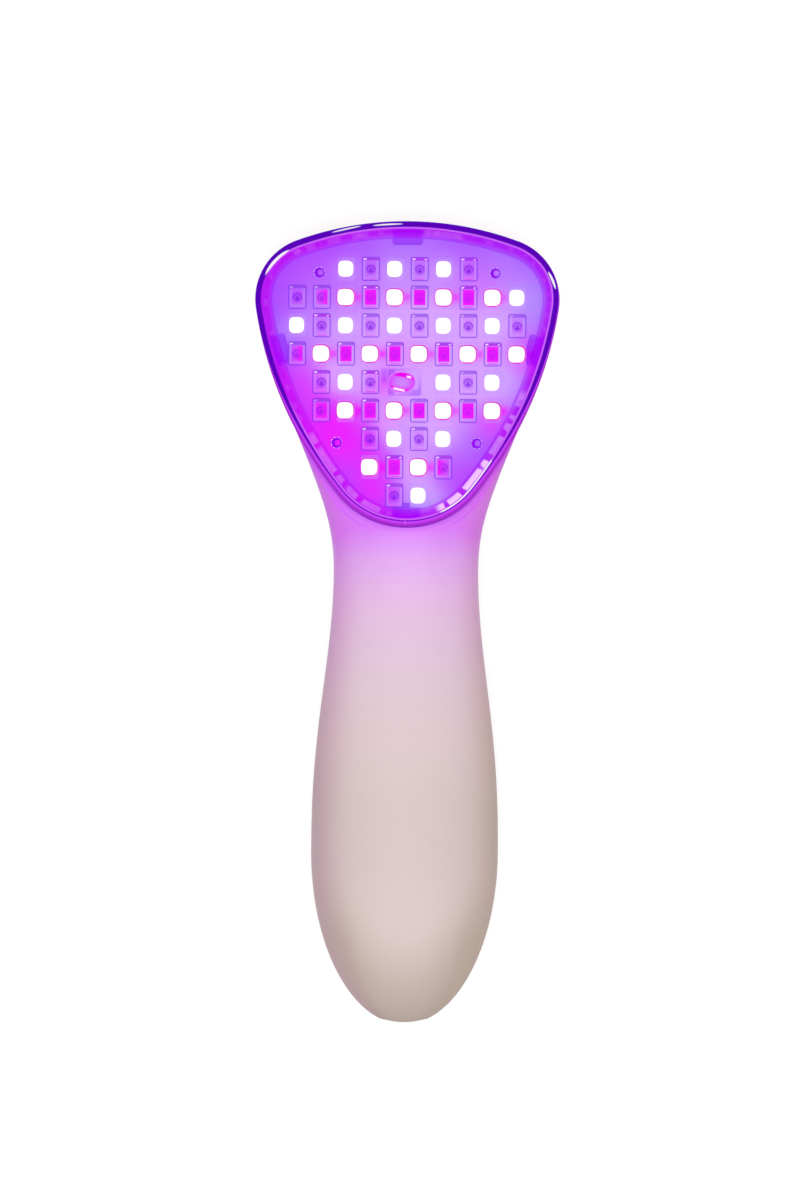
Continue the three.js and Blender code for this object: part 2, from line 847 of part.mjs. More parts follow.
function frontShell() {
  const deck = headBlock(pocketGap + pocketWall, deckBottom, aboveAll);
  const cavity = cut(innerBody, deck);
  const rabbet = housingBlock(wall / 2, midLevel, tongueTop + tongueGap);
  const upper = cut(outerBody.intersect(everything(frontBottom, aboveAll)), cavity, rabbet);
  const headBossRadius = bossRadius + screwHeadRadius - screwRadius;
  const bosses = Object.values(housingScrewSpots).map(([x, y]) => (
    column(headBossRadius, x, y, frontBottom, deckBottom + sink)));
  const foamRoom = foamThickness + cellClearance + restGap;
  const ribs = gripRibs(cellRadius + foamRoom, cellLevel + cellRadius / 2, aboveAll);
  const body = joined(upper, ...bosses, ...ribs);
  const holes = Object.values(housingScrewSpots).flatMap(([x, y]) => [
    column(screwHeadRadius + screwClearance, x, y, housingSeatLevel, seatLevel + overrun),
    column(screwHoleRadius, x, y, frontBottom - overrun, housingSeatLevel + overrun),
  ]);
  const clipSlots = clipRow(
    clipSlotWidth,
    clipInset - clipSlack,
    clipEnd + clipSlack,
    deckBottom - overrun,
    seatLevel + overrun,
    chinY,
  );
  return cut(
    body,
    headBlock(pocketGap, seatLevel, aboveAll),
    cableSlot(deckBottom - overrun, seatLevel + overrun, chinY),
    ...clipSlots,
    ...holes,
    portCut(),
  );
}

// Posts of the rear shell that the screws go into and that the boards rest on
function rearPosts() {
  const rows = [
    [Object.values(housingScrewSpots), bossRadius, frontBottom - restGap],
    [Object.values(cradleScrewSpots), bossRadius, trayEarLevel],
    [[...mainBoardHoles, ...mainBoardRests], mainBoardPostDiameter / 2, mainBoardBottom - restGap],
    [[chargeScrewSpot], bossRadius, chargeBoardBottom - restGap],
  ];
  const posts = rows.flatMap(([spots, radius, top]) => (
    spots.map(([x, y]) => column(radius, x, y, wall / 2, top))));
  const pad = column(buttonPadRadius, 0, buttonY, wall / 2, buttonPadLevel, fineSides);
  return [...posts, pad].map((post) => post.intersect(outerBody));
}

// Pilot holes down the middle of the posts
function rearPilots() {
  const rows = [
    [Object.values(housingScrewSpots), housingSeatLevel - housingScrewLength - screwClearance],
    [Object.values(cradleScrewSpots), trayEarLevel - trayScrewLength],
    [mainBoardHoles, mainBoardBottom - trayScrewLength],
    [[chargeScrewSpot], chargeBoardBottom - trayScrewLength],
  ];
  return rows.flatMap(([spots, floor]) => (
    spots.map(([x, y]) => column(screwHoleRadius, x, y, floor, aboveAll))));
}

// Opening of the button with the land round it and room for its flange, and the hole of the light pipe
function rearOpenings() {
  const capRadius = buttonDiameter / 2;
  const flangeRadius = capRadius + buttonFlangeWidth + buttonClearance;
  return [
    column(capRadius + buttonClearance, 0, buttonY, belowAll, midLevel, fineSides),
    column(buttonLandDiameter / 2, 0, buttonY, belowAll, buttonLandLevel, fineSides),
    column(flangeRadius, 0, buttonY, buttonPadLevel, midLevel, fineSides),
    column(pipeDiameter / 2 + pipeClearance, 0, indicatorY, belowAll, midLevel),
  ];
}

function rearShell() {
  const lower = cut(outerBody.intersect(everything(belowAll, midLevel)), innerBody);
  const tongue = cut(
    housingBlock(wall / 2 + tongueGap, midLevel - sink, tongueTop),
    housingBlock(wall, midLevel - overrun, tongueTop + overrun),
  );
  const ribs = gripRibs(cradleOuter + cellClearance, 0, cellLevel - cradleOuter / 2);
  return cut(
    joined(lower, tongue, ...rearPosts(), ...ribs),
    ...rearOpenings(),
    ...rearPilots(),
    portCut(),
  );
}

// The clear cover: a straight skirt that rolls over into the flat window, with four clips
function windowCover() {
  const rings = [[0, coverBottom], [0, windowLevel - coverEdgeHeight]];
  for (let i = 1; i <= rollSteps; i += 1) {
    const angle = (Math.PI / 2) * (i / rollSteps);
    rings.push([
      coverEdgeWidth * (Math.cos(angle) - 1),
      windowLevel - coverEdgeHeight * (1 - Math.sin(angle)),
    ]);
  }
  const outside = skinned(rings.map(([offset, level]) => (
    headOutline(offset).map((point) => new THREE.Vector3(point.x, point.y, level)))));
  const inside = prism(headOutline(-coverWall), coverBottom - overrun, windowLevel - windowThickness);
  return joined(
    cut(outside, inside),
    ...clipRow(clipWidth, coverWall - sink, clipEnd, spreaderTop, boardTop),
    ...clipRow(clipWidth, clipInset, clipEnd, clipBottom, boardTop),
    ...clipRow(clipWidth, clipEnd - sink, clipEnd + clipNib, clipBottom, clipBottom + clipNibHeight),
  );
}

function windowGasket() {
  return cut(
    prism(headOutline(-gasketMargin), seatLevel, seatLevel + gasketThickness),
    prism(headOutline(-gasketMargin - gasketWidth), seatLevel - overrun, windowLevel),
  );
}

function ledCarrier() {
  const plate = prism(headOutline(-carrierMargin), carrierBottom, carrierTop);
  const rim = cut(
    prism(headOutline(-carrierMargin), carrierTop - sink, carrierTop + carrierRimHeight),
    prism(headOutline(-carrierMargin - carrierRimWidth), carrierBottom, windowLevel),
  );
  const pins = pinSpots.map(([x, y]) => revolved([
    [0, carrierTop - sink],
    [pinRadius, carrierTop - sink],
    [pinRadius, boardTop + pinProud / 2],
    [pinRadius - pinProud / 2, boardTop + pinProud],
    [0, boardTop + pinProud],
  ], x, y, fewSides));
  return cut(
    joined(plate, rim, ...pins),
    cableSlot(carrierBottom - overrun, carrierTop + overrun),
    ...clipRow(
      clipSlotWidth,
      carrierMargin - overrun,
      clipEnd + clipSlack,
      carrierBottom - overrun,
      windowLevel,
    ),
  );
}

function pinHoles(fromZ, toZ) {
  return pinSpots.map(([x, y]) => column(pinRadius + pinClearance, x, y, fromZ, toZ, fewSides));
}

function heatSpreader() {
  return cut(
    prism(headOutline(-spreaderMargin), spreaderBottom, spreaderTop),
    cableSlot(spreaderBottom - overrun, spreaderTop + overrun),
    ...pinHoles(spreaderBottom - overrun, spreaderTop + overrun),
    ...clipRow(clipSlotWidth, 0, boardNotchDepth, spreaderBottom - overrun, windowLevel),
  );
}

const emitterPitch = (headWidth - 2 * columnMargin) / (Math.max(...rowCounts) - 1);
const rowPitch = (headLength - topRowDrop - bottomRowRise) / (rowCounts.length - 1);

function rowRise(row) {
  return headLength - topRowDrop - row * rowPitch;
}

// One emitter: a clear block with sloping ends and a round well over its chip, its foot at level zero
function emitter() {
  const half = emitterLength / 2;
  const block = acrossX([
    new THREE.Vector2(-half, -sink),
    new THREE.Vector2(half, -sink),
    new THREE.Vector2(half - emitterEndSlope, emitterHeight),
    new THREE.Vector2(emitterEndSlope - half, emitterHeight),
  ], emitterWidth);
  const wellFloor = emitterHeight - emitterWellDepth;
  const well = column(emitterWellDiameter / 2, 0, 0, wellFloor, emitterHeight + overrun, fewestSides);
  return geometryOf(cut(block, well));
}

function emitterSpots() {
  const spots = [];
  rowCounts.forEach((count, row) => {
    for (let i = 0; i < count; i += 1) {
      const isSensor = row === sensorRow && Math.abs(i - (count - 1) / 2) < 1;
      if (!isSensor) {
        spots.push([(i - (count - 1) / 2) * emitterPitch, rowRise(row)]);
      }
    }
  });
  return spots;
}

function ledBoard() {
  const sensorRise = rowRise(sensorRow);
  const plate = prism(headOutline(-boardMargin), boardBottom, boardTop);
  const block = emitter();
  const emitters = emitterSpots().map(([x, y]) => solidOf(block.clone().translate(x, y, boardTop)));
  const sensor = slab(
    sensorWidth,
    sensorRise - sensorLength / 2,
    sensorRise + sensorLength / 2,
    boardTop - sink,
    boardTop + sensorHeight,
  ).translate([-sensorShift, 0, 0]);
  return cut(
    joined(plate, ...emitters, sensor),
    ...pinHoles(boardBottom - overrun, boardTop + overrun),
    ...clipRow(clipSlotWidth, 0, boardNotchDepth, boardBottom - overrun, boardTop + overrun),
  );
}

function sensorLens() {
  const profile = [[0, 0]];
  for (let i = 0; i <= lensSteps; i += 1) {
    const angle = (Math.PI / 2) * (i / lensSteps);
    profile.push([i === lensSteps ? 0 : Math.cos(angle), Math.sin(angle)]);
  }
  const geometry = new THREE.LatheGeometry(profile.map(([r, z]) => new THREE.Vector2(r, z)), roundSides);
  geometry.rotateX(Math.PI / 2);
  geometry.scale(lensWidth / 2, lensLength / 2, lensHeight);
  return solidOf(geometry);
}

function batteryCradle() {
  const halfAngle = Math.PI * cradleOpeningShare;
  const down = -Math.PI / 2;
  const origin = new THREE.Vector2(0, cellLevel);
  const outer = arc(origin, cradleOuter, down - halfAngle, down + halfAngle, troughSteps);
  const inner = arc(origin, cradleInner, down + halfAngle, down - halfAngle, troughSteps);
  const trough = alongY([...outer, ...inner], cradleStartY, cradleEndY);
  const bulkhead = arc(origin, cradleInner + sink, down - halfAngle, down + halfAngle, troughSteps);
  const ends = [
    alongY(bulkhead, cradleStartY, cradleStartY + cradleEndWall),
    alongY(bulkhead, cradleEndY - cradleEndWall, cradleEndY),
  ];
  const earReach = bossRadius + screwClearance;
  const ears = slab(
    2 * (trayScrewX + bossRadius),
    cellMiddleY - earReach,
    cellMiddleY + earReach,
    trayEarLevel + restGap,
    trayEarLevel + restGap + trayEarThickness,
  );
  const bore = alongY(
    circle(cradleInner, 2 * troughSteps, 0, cellLevel),
    cradleStartY + cradleEndWall,
    cradleEndY - cradleEndWall,
  );
  const holes = Object.values(cradleScrewSpots).map(([x, y]) => (
    column(screwHoleRadius, x, y, 0, cellLevel)));
  return cut(joined(trough, ...ends, ears).intersect(roomBody), bore, ...holes);
}

function batteryCell() {
  const profile = [
    [0, 0],
    [cellRadius - cellShoulder, 0],
    [cellRadius, cellShoulder],
    [cellRadius, cellLength - cellGrooveReach],
    [cellRadius - cellGrooveDepth, cellLength - (cellGrooveReach + cellShoulder) / 2],
    [cellRadius, cellLength - cellShoulder],
    [cellRadius - cellShoulder, cellLength - cellTerminalHeight],
    [cellTerminalRadius, cellLength - cellTerminalHeight],
    [cellTerminalRadius, cellLength],
    [0, cellLength],
  ];
  const geometry = new THREE.LatheGeometry(profile.map(([r, z]) => new THREE.Vector2(r, z)), fineSides);
  geometry.translate(0, cellStartY, cellLevel);
  return solidOf(geometry);
}

function batteryTab(fromY) {
  return slab(tabWidth, fromY, fromY + tabThickness, cellLevel - tabHeight / 2, cellLevel + tabHeight / 2);
}

function batteryFoam() {
  const halfAngle = Math.PI * foamShare;
  const up = Math.PI / 2;
  const origin = new THREE.Vector2(0, cellLevel);
  const inner = arc(origin, cellRadius + cellClearance, up + halfAngle, up - halfAngle, fewSides);
  const outerRadius = cellRadius + cellClearance + foamThickness;
  const outer = arc(origin, outerRadius, up - halfAngle, up + halfAngle, fewSides);
  const pad = alongY([...outer, ...inner], cellMiddleY - foamLength / 2, cellMiddleY + foamLength / 2);
  return pad.intersect(roomBody);
}

function mainBoard() {
  const plate = slab(mainBoardWidth, mainBoardStartY, mainBoardEndY, mainBoardBottom, mainBoardTop);
  const cableY = mainBoardEndY - cableSocketInset;
  const cableSocket = slab(
    cableWidth + 2 * cableSocketSide,
    cableY - cableSocketLength,
    cableY,
    mainBoardTop - sink,
    mainBoardTop + cableSocketHeight,
  );
  const leadSockets = [-leadSocketOffset, leadSocketOffset].map((x) => box(
    x - leadSocketWidth / 2,
    x + leadSocketWidth / 2,
    leadSocketY,
    leadSocketY + leadSocketLength,
    mainBoardTop - sink,
    mainBoardTop + leadSocketHeight,
  ));
  const chipY = mainBoardStartY + chipInset;
  const chip = box(-chipSize, 0, chipY, chipY + chipSize, mainBoardTop - sink, mainBoardTop + chipHeight);
  const coil = box(
    chipSize / 2,
    chipSize / 2 + coilSize,
    chipY,
    chipY + coilSize,
    mainBoardTop - sink,
    mainBoardTop + coilHeight,
  );
  const indicator = slab(
    indicatorSize,
    indicatorY - indicatorSize / 2,
    indicatorY + indicatorSize / 2,
    mainBoardBottom - indicatorHeight,
    mainBoardBottom + sink,
  );
  const holes = mainBoardHoles.map(([x, y]) => column(screwHoleRadius, x, y, 0, aboveAll));
  const postRooms = Object.values(housingScrewSpots).map(([x, y]) => (
    column(bossRadius + fitGap, x, y, 0, aboveAll)));
  const parts = [cableSocket, ...leadSockets, chip, coil, indicator];
  return cut(joined(plate.intersect(roomBody), ...parts), ...holes, ...postRooms);
}

function tactSwitch() {
  return cut(
    slab(switchWidth, buttonY - switchWidth / 2, buttonY + switchWidth / 2, switchBottom, switchTop),
    column(
      plungerDiameter / 2 + plungerClearance,
      0,
      buttonY,
      switchBottom - overrun,
      switchBottom + switchWellDepth,
    ),
  );
}

function switchPlunger() {
  return column(plungerDiameter / 2, 0, buttonY, plungerBottom, plungerTop);
}

function powerButton() {
  const capRadius = buttonDiameter / 2;
  const stemRadius = buttonStemDiameter / 2;
  return revolved([
    [0, buttonFaceLevel + buttonDish],
    [capRadius / 2, buttonFaceLevel + buttonDish / 2],
    [capRadius - buttonEdge, buttonFaceLevel],
    [capRadius, buttonFaceLevel + buttonEdge],
    [capRadius, flangeBottom],
    [capRadius + buttonFlangeWidth, flangeBottom],
    [capRadius + buttonFlangeWidth, flangeTop],
    [stemRadius, flangeTop],
    [stemRadius, stemTop],
    [0, stemTop],
  ], 0, buttonY, fineSides);
}

function indicatorPipe() {
  const flangeLevel = neckBackLevel + wall;
  const lensLevel = levelsAt(indicatorY).back + pipeRecess;
  return revolved([
    [0, lensLevel],
    [pipeDiameter / 2, lensLevel],
    [pipeDiameter / 2, flangeLevel],
    [pipeFlangeDiameter / 2, flangeLevel],
    [pipeFlangeDiameter / 2, flangeLevel + pipeFlangeThickness],
    [pipeDiameter / 2, flangeLevel + pipeFlangeThickness],
    [pipeDiameter / 2, mainBoardBottom - indicatorHeight - restGap],
    [0, mainBoardBottom - indicatorHeight - restGap],
  ], 0, indicatorY);
}

function chargeBoard() {
  const plate = slab(
    chargeBoardWidth,
    chargeBoardStartY,
    chargeBoardEndY,
    chargeBoardBottom,
    chargeBoardTop,
  );
  return cut(plate.intersect(roomBody), column(screwHoleRadius, ...chargeScrewSpot, 0, aboveAll));
}

function usbSocket() {
  const shell = cut(
    alongY(stadium(socketWidth, socketHeight, midLevel), socketStartY, socketEndY),
    alongY(
      stadium(socketWidth - 2 * socketWall, socketHeight - 2 * socketWall, midLevel),
      socketStartY - overrun,
      socketEndY - socketBack,
    ),
  );
  return joined(shell, slab(
    socketTongueWidth,
    socketStartY + socketTongueRecess,
    socketEndY - socketBack + sink,
    midLevel - socketTongueThickness / 2,
    midLevel + socketTongueThickness / 2,
  ));
}

// The flat cable leaves its socket towards the chin and folds up through the deck to the light board
function ledCable() {
  const slotY = chinY + cableSlotRise;
  const socketFace = mainBoardEndY - cableSocketInset + leadEndGap;
  const low = mainBoardTop + cableSocketHeight / 2;
  const high = boardBottom - leadEndGap;
  const half = cableThickness / 2;
  const turn = cableSocketHeight / 2;
  return acrossX([
    new THREE.Vector2(socketFace, low - half),
    new THREE.Vector2(slotY - turn, low - half),
    new THREE.Vector2(slotY + half, low + turn),
    new THREE.Vector2(slotY + half, high),
    new THREE.Vector2(slotY - half, high),
    new THREE.Vector2(slotY - half, low + turn + half),
    new THREE.Vector2(slotY - turn - half, low + half),
    new THREE.Vector2(socketFace, low + half),
  ], cableWidth);
}

function lead(points) {
  const path = points.map(([x, y, z]) => new THREE.Vector3(x, y, z));
  return swept(circle(leadDiameter / 2, fewestSides), path, leadSteps);
}

// Leads end side by side at the sockets on the main board
function socketEnd(x) {
  const y = leadSocketY - leadEndGap;
  const level = mainBoardTop + leadSocketHeight / 2;
  return [
    [x, y - mainBoardHoleInset, level + leadDiameter / 2],
    [x, y, level],
  ];
}

// A lead that runs along one side of the cell
function sideLead(side, level, start, socketX) {
  return lead([
    ...start,
    [side * leadX, cellStartY + leadBend, level],
    [side * leadX, cellEndY - leadBend, level],
    [side * leadX, cradleEndY, level],
    ...socketEnd(side * socketX),
  ]);
}

const innerPinX = leadSocketOffset - leadPitch / 2;
const outerPinX = leadSocketOffset + leadPitch / 2;

function batteryLeadRed() {
  const startY = cellEndY + restGap + tabThickness + leadEndGap;
  const level = cellLevel + leadRise;
  return lead([
    [leadPitch, startY, level],
    [leadPitch, startY + leadDiameter, level],
    ...socketEnd(innerPinX),
  ]);
}

function batteryLeadBlack() {
  const startY = cellStartY - restGap - tabThickness - leadEndGap;
  const level = leadLevel + leadRise;
  return sideLead(-1, level, [
    [-leadPitch / 2, startY, level],
    [-leadPitch / 2, startY - leadDiameter / 2, level],
    [-cellRadius, startY - leadDiameter, level],
  ], outerPinX);
}

function chargeLead(side, socketX) {
  const startY = chargeBoardEndY + leadEndGap;
  const startLevel = chargeBoardBottom + chargeBoardThickness / 2;
  return sideLead(side, leadLevel, [
    [side * chargeLeadOffset, startY, startLevel],
    [side * chargeLeadOffset, startY + leadDiameter / 2, startLevel],
    [side * (cellRadius + leadDiameter), startY + leadDiameter, leadLevel],
  ], socketX);
}

const device = new THREE.Group();
const handleGroup = new THREE.Group();
const headGroup = new THREE.Group();
headGroup.position.y = chinY;
device.add(handleGroup, headGroup);

const lensMesh = piece('sensor_lens', sensorLens(), finishes.lens);
lensMesh.position.set(-lensShift, rowRise(sensorRow), boardTop + sensorHeight + restGap);

headGroup.add(
  piece('window_cover', windowCover(), finishes.clear),
  piece('window_gasket', windowGasket(), finishes.silicone),
  piece('led_carrier', ledCarrier(), finishes.carrier),
  piece('heat_spreader', heatSpreader(), finishes.aluminium),
  piece('led_board', ledBoard(), finishes.emitterBoard),
  lensMesh,
);

handleGroup.add(
  piece('rear_shell', rearShell(), finishes.housing),
  piece('front_shell', frontShell(), finishes.housing),
  ...Object.entries(housingScrewSpots).map(([name, spot]) => (
    screw(name, spot, housingSeatLevel, housingScrewLength))),
  piece('battery_cradle', batteryCradle(), finishes.blackPlastic),
  ...Object.entries(cradleScrewSpots).map(([name, spot]) => (
    screw(name, spot, trayEarLevel + restGap + trayEarThickness, trayScrewLength))),
  piece('battery_cell', batteryCell(), finishes.cell),
  piece('battery_tab_positive', batteryTab(cellEndY + restGap), finishes.nickel),
  piece('battery_tab_negative', batteryTab(cellStartY - restGap - tabThickness), finishes.nickel),
  piece('battery_foam', batteryFoam(), finishes.foam),
  piece('main_board', mainBoard(), finishes.mainBoard),
  screw('board_screw_left', mainBoardHoles[0], mainBoardTop, trayScrewLength),
  screw('board_screw_right', mainBoardHoles[1], mainBoardTop, trayScrewLength),
  piece('tact_switch', tactSwitch(), finishes.blackPlastic),
  piece('switch_plunger', switchPlunger(), finishes.silicone),
  piece('power_button', powerButton(), finishes.button),
  piece('indicator_light_pipe', indicatorPipe(), finishes.lens),
  piece('charge_board', chargeBoard(), finishes.mainBoard),
  piece('usb_socket', usbSocket(), finishes.steel),
  screw('charge_board_screw', chargeScrewSpot, chargeBoardTop, trayScrewLength),
  piece('led_cable', ledCable(), finishes.cable),
  piece('battery_lead_red', batteryLeadRed(), finishes.redLead),
  piece('battery_lead_black', batteryLeadBlack(), finishes.blackLead),
  piece('charge_lead_red', chargeLead(1, outerPinX), finishes.redLead),
  piece('charge_lead_black', chargeLead(-1, innerPinX), finishes.blackLead),
);

// The origin is the middle of the footprint
const reach = new THREE.Box3().setFromObject(device);
device.position.y = -(reach.min.y + reach.max.y) / 2;

export default device;
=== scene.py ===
"""The hand-held light therapy device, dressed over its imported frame.

Sizes are millimetres in the frame's own axes: X runs across the device, Y from the tip of the
handle to the crown of the head, and Z from the floor that the device lies on up to its window.
A place's rise is its distance above the head's chin, along Y.
"""
import json
import logging
import math
from dataclasses import dataclass, field, replace
from enum import Enum
from functools import cache, reduce
from typing import Callable

import bpy
import numpy as np
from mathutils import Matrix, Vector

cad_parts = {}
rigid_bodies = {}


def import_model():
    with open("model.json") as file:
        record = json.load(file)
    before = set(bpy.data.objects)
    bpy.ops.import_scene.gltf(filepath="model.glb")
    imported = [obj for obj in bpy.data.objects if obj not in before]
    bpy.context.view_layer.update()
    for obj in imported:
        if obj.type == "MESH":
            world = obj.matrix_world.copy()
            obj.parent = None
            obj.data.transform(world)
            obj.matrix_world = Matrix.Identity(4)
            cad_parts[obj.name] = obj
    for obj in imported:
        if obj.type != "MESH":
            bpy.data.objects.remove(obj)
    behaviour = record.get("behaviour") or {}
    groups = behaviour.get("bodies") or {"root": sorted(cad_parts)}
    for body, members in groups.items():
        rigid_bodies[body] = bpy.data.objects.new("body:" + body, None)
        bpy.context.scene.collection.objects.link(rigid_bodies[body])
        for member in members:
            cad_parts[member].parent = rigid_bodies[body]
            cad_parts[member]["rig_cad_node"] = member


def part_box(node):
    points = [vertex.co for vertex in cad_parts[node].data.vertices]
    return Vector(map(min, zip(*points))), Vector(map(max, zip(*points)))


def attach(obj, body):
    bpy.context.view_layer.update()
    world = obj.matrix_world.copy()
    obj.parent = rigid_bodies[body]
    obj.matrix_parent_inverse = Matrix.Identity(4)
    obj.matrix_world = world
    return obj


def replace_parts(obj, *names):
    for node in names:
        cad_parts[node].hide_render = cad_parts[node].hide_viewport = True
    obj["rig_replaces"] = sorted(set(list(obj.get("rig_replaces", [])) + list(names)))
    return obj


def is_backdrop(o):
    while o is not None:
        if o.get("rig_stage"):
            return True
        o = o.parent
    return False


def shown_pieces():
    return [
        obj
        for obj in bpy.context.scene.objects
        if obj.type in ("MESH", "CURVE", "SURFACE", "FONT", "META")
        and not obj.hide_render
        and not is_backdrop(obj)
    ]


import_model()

LOG = logging.getLogger("device")
MM = 0.001
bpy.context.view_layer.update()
BLACK = (0.0, 0.0, 0.0, 1.0)
WHITE = (1.0, 1.0, 1.0, 1.0)
MIRROR = np.array([-1, 1, 1])

Colour = tuple[int, int, int]
Pair = tuple[float, float]
Triple = tuple[float, float, float]
Array = np.ndarray
Values = dict[str, Array]
Piece = bpy.types.Object
Socket = bpy.types.NodeSocket
Sockets = bpy.types.bpy_prop_collection
Value = Socket | float | tuple
Inputs = dict[str, Value]


# Surfaces


def smooth(values: Array, low: float, high: float) -> Array:
    """The cubic 3s^2 - 2s^3 of each value's share s of the way from low to high, 0 to 1."""
    share = np.clip((values - low) / (high - low), 0, 1)
    return share * share * (3 - 2 * share)


@dataclass
class Patch:
    """A surface of four-cornered faces, with values that its points carry.

    Attributes:
        points: One row of X, Y and Z for each point.
        quads: Four point numbers for each face; a repeated number makes a triangle.
        values: Named numbers or vectors, one for each point.
        paint: The material number of each face, or None for the first material.
    """

    points: Array
    quads: Array
    values: Values = field(default_factory=dict)
    paint: Array | None = None

    def painted(self) -> Array:
        """The material number of each face."""
        return np.zeros(len(self.quads), int) if self.paint is None else self.paint

    def turned(self) -> "Patch":
        """The same surface with its faces turned over."""
        return replace(self, quads=self.quads[:, ::-1])

    def facing_out(self) -> "Patch":
        """The closed surface with its faces outwards: the sum of a.(b x c) is positive."""
        a, b, c, d = (self.points[self.quads[:, i]] for i in range(4))
        halves = np.cross(b, c), np.cross(c, d)
        volume = sum(np.einsum("ij,ij->", a, half) for half in halves)
        return self if volume > 0 else self.turned()

    def moved(self, x: float, y: float, z: float) -> "Patch":
        """The same surface moved by a distance along each axis."""
        return replace(self, points=self.points + np.array([x, y, z]))


def grid(points: Array, values: Values | None = None, wrap: bool = False) -> Patch:
    """Faces over a grid of points, one between each two rows and columns.

    Args:
        points: Points in rows and columns, as an array of rows x columns x 3.
        values: Arrays of rows x columns that the points carry.
        wrap: Whether the last column joins the first.

    Returns:
        The surface.
    """
    rows, columns = points.shape[:2]
    number = np.arange(rows * columns).reshape(rows, columns)
    if wrap:
        number = np.concatenate([number, number[:, :1]], axis=1)
    corners = [number[:-1, :-1], number[:-1, 1:], number[1:, 1:], number[1:, :-1]]
    quads = np.stack([corner.ravel() for corner in corners], axis=1)
    kept = {name: value.reshape(rows * columns, -1) for name, value in (values or {}).items()}
    return Patch(points.reshape(-1, 3), quads, kept)


def lifted(rings: Array, levels: Array) -> Array:
    """Rings of X and Y with a level each: rows x columns x 2 become rows x columns x 3."""
    height = np.repeat(levels[:, None, None], rings.shape[1], axis=1)
    return np.concatenate([rings, height], axis=2)


def together(patches: list[Patch]) -> Patch:
    """Several surfaces as one.

    Args:
        patches: The surfaces; they carry the same values as the first of them.

    Returns:
        The one surface.
    """
    starts = np.cumsum([0] + [len(patch.points) for patch in patches[:-1]])
    quads = [patch.quads + start for patch, start in zip(patches, starts)]
    values = {
        name: np.concatenate([patch.values[name] for patch in patches])
        for name in patches[0].values
    }
    return Patch(
        np.concatenate([patch.points for patch in patches]),
        np.concatenate(quads),
        values,
        np.concatenate([patch.painted() for patch in patches]),
    )


def welded(patch: Patch) -> Patch:
    """Makes points within a ten-thousandth of a millimetre one, so seams and poles close.

    Args:
        patch: Any surface.

    Returns:
        The surface without doubles, and without the faces that fold to a line.
    """
    keys = np.round(patch.points * 1e4).astype(np.int64)
    _, first, number = np.unique(keys, axis=0, return_index=True, return_inverse=True)
    quads = number.reshape(-1)[patch.quads]
    same = np.stack([quads[:, i] == quads[:, (i + 1) % 4] for i in range(4)], axis=1)
    crossed = (quads[:, 0] == quads[:, 2]) | (quads[:, 1] == quads[:, 3])
    good = ~(crossed | (same.sum(axis=1) > 1))
    values = {name: value[first] for name, value in patch.values.items()}
    return Patch(patch.points[first], quads[good], values, patch.painted()[good])


def thickened(patch: Patch, depth_name: str) -> Patch:
    """Gives an open surface a wall on its inner side, and closes it along its rim.

    The inner points are p - n d, with n the faces' mean normal at p and d the depth that the
    point carries. An edge that only one face uses is the rim, and gets a face inwards.

    Args:
        patch: The open surface, its faces outwards.
        depth_name: The carried value that holds the depth in millimetres.

    Returns:
        The closed wall.
    """
    outer = welded(patch)
    points, quads = outer.points, outer.quads
    a, b, c, d = (points[quads[:, i]] for i in range(4))
    facing = np.cross(c - a, d - b)
    normals = np.zeros_like(points)
    for i in range(4):
        np.add.at(normals, quads[:, i], facing)
    normals /= np.maximum(np.linalg.norm(normals, axis=1, keepdims=True), 1e-12)
    count = len(points)
    starts, ends = quads.ravel(), np.roll(quads, -1, axis=1).ravel()
    real = starts != ends
    starts, ends = starts[real], ends[real]
    lone = ~np.isin(starts * count + ends, ends * count + starts)
    starts, ends = starts[lone], ends[lone]
    rim = np.stack([ends, starts, starts + count, ends + count], axis=1)
    inner = points - normals * outer.values[depth_name].reshape(-1, 1)
    faces = np.concatenate([quads, quads[:, ::-1] + count, rim])
    return Patch(np.concatenate([points, inner]), faces)


def around(count: int) -> Array:
    """Angles of a full turn, the last one short of the first."""
    return np.linspace(0, 2 * math.pi, count, endpoint=False)


def turned_form(profile: list[Pair], sides: int, x: float = 0, y: float = 0) -> Patch:
    """A profile turned about the upright line through (x, y): (x + r cos t, y + r sin t, z).

    Args:
        profile: Pairs of radius and level, from one end on the axis to the other.
        sides: How many points go round.
        x, y: The axis's place.

    Returns:
        The closed surface.
    """
    radius, level = np.array(profile).T
    turn = around(sides)
    way = np.stack([np.cos(turn), np.sin(turn)], axis=1)
    rings = radius[:, None, None] * way + np.array([x, y])
    return grid(lifted(rings, level), wrap=True).facing_out()


def rounded_ring(half_width: float, half_length: float, power: float, count: int) -> Array:
    """Points of |x/a|^n + |y/b|^n = 1: x = a |cos t|^(2/n), y = b |sin t|^(2/n), signs kept."""
    turn = around(count) + math.pi / count
    sides = ((half_width, np.cos(turn)), (half_length, np.sin(turn)))
    shares = 2 / power
    return np.stack([half * np.sign(way) * np.abs(way) ** shares for half, way in sides], axis=1)


def slot_ring(straight: float, radius: float, y: float, level: float, count: int) -> Array:
    """A slot with half-round ends, seen along Y: x = s sign(cos t) + r cos t, z = r sin t."""
    turn = around(count)
    x = straight * np.sign(np.cos(turn)) + radius * np.cos(turn)
    return np.stack([x, np.full(count, y), level + radius * np.sin(turn)], axis=1)


def stacked(rings: list[Array], levels: list[float]) -> Patch:
    """Rings of X and Y laid on each other at their levels, closed with a point at both ends."""
    first, last = (ring * 0 + ring.mean(axis=0) for ring in (rings[0], rings[-1]))
    height = np.array([levels[0], *levels, levels[-1]])
    return grid(lifted(np.stack([first, *rings, last]), height), wrap=True)


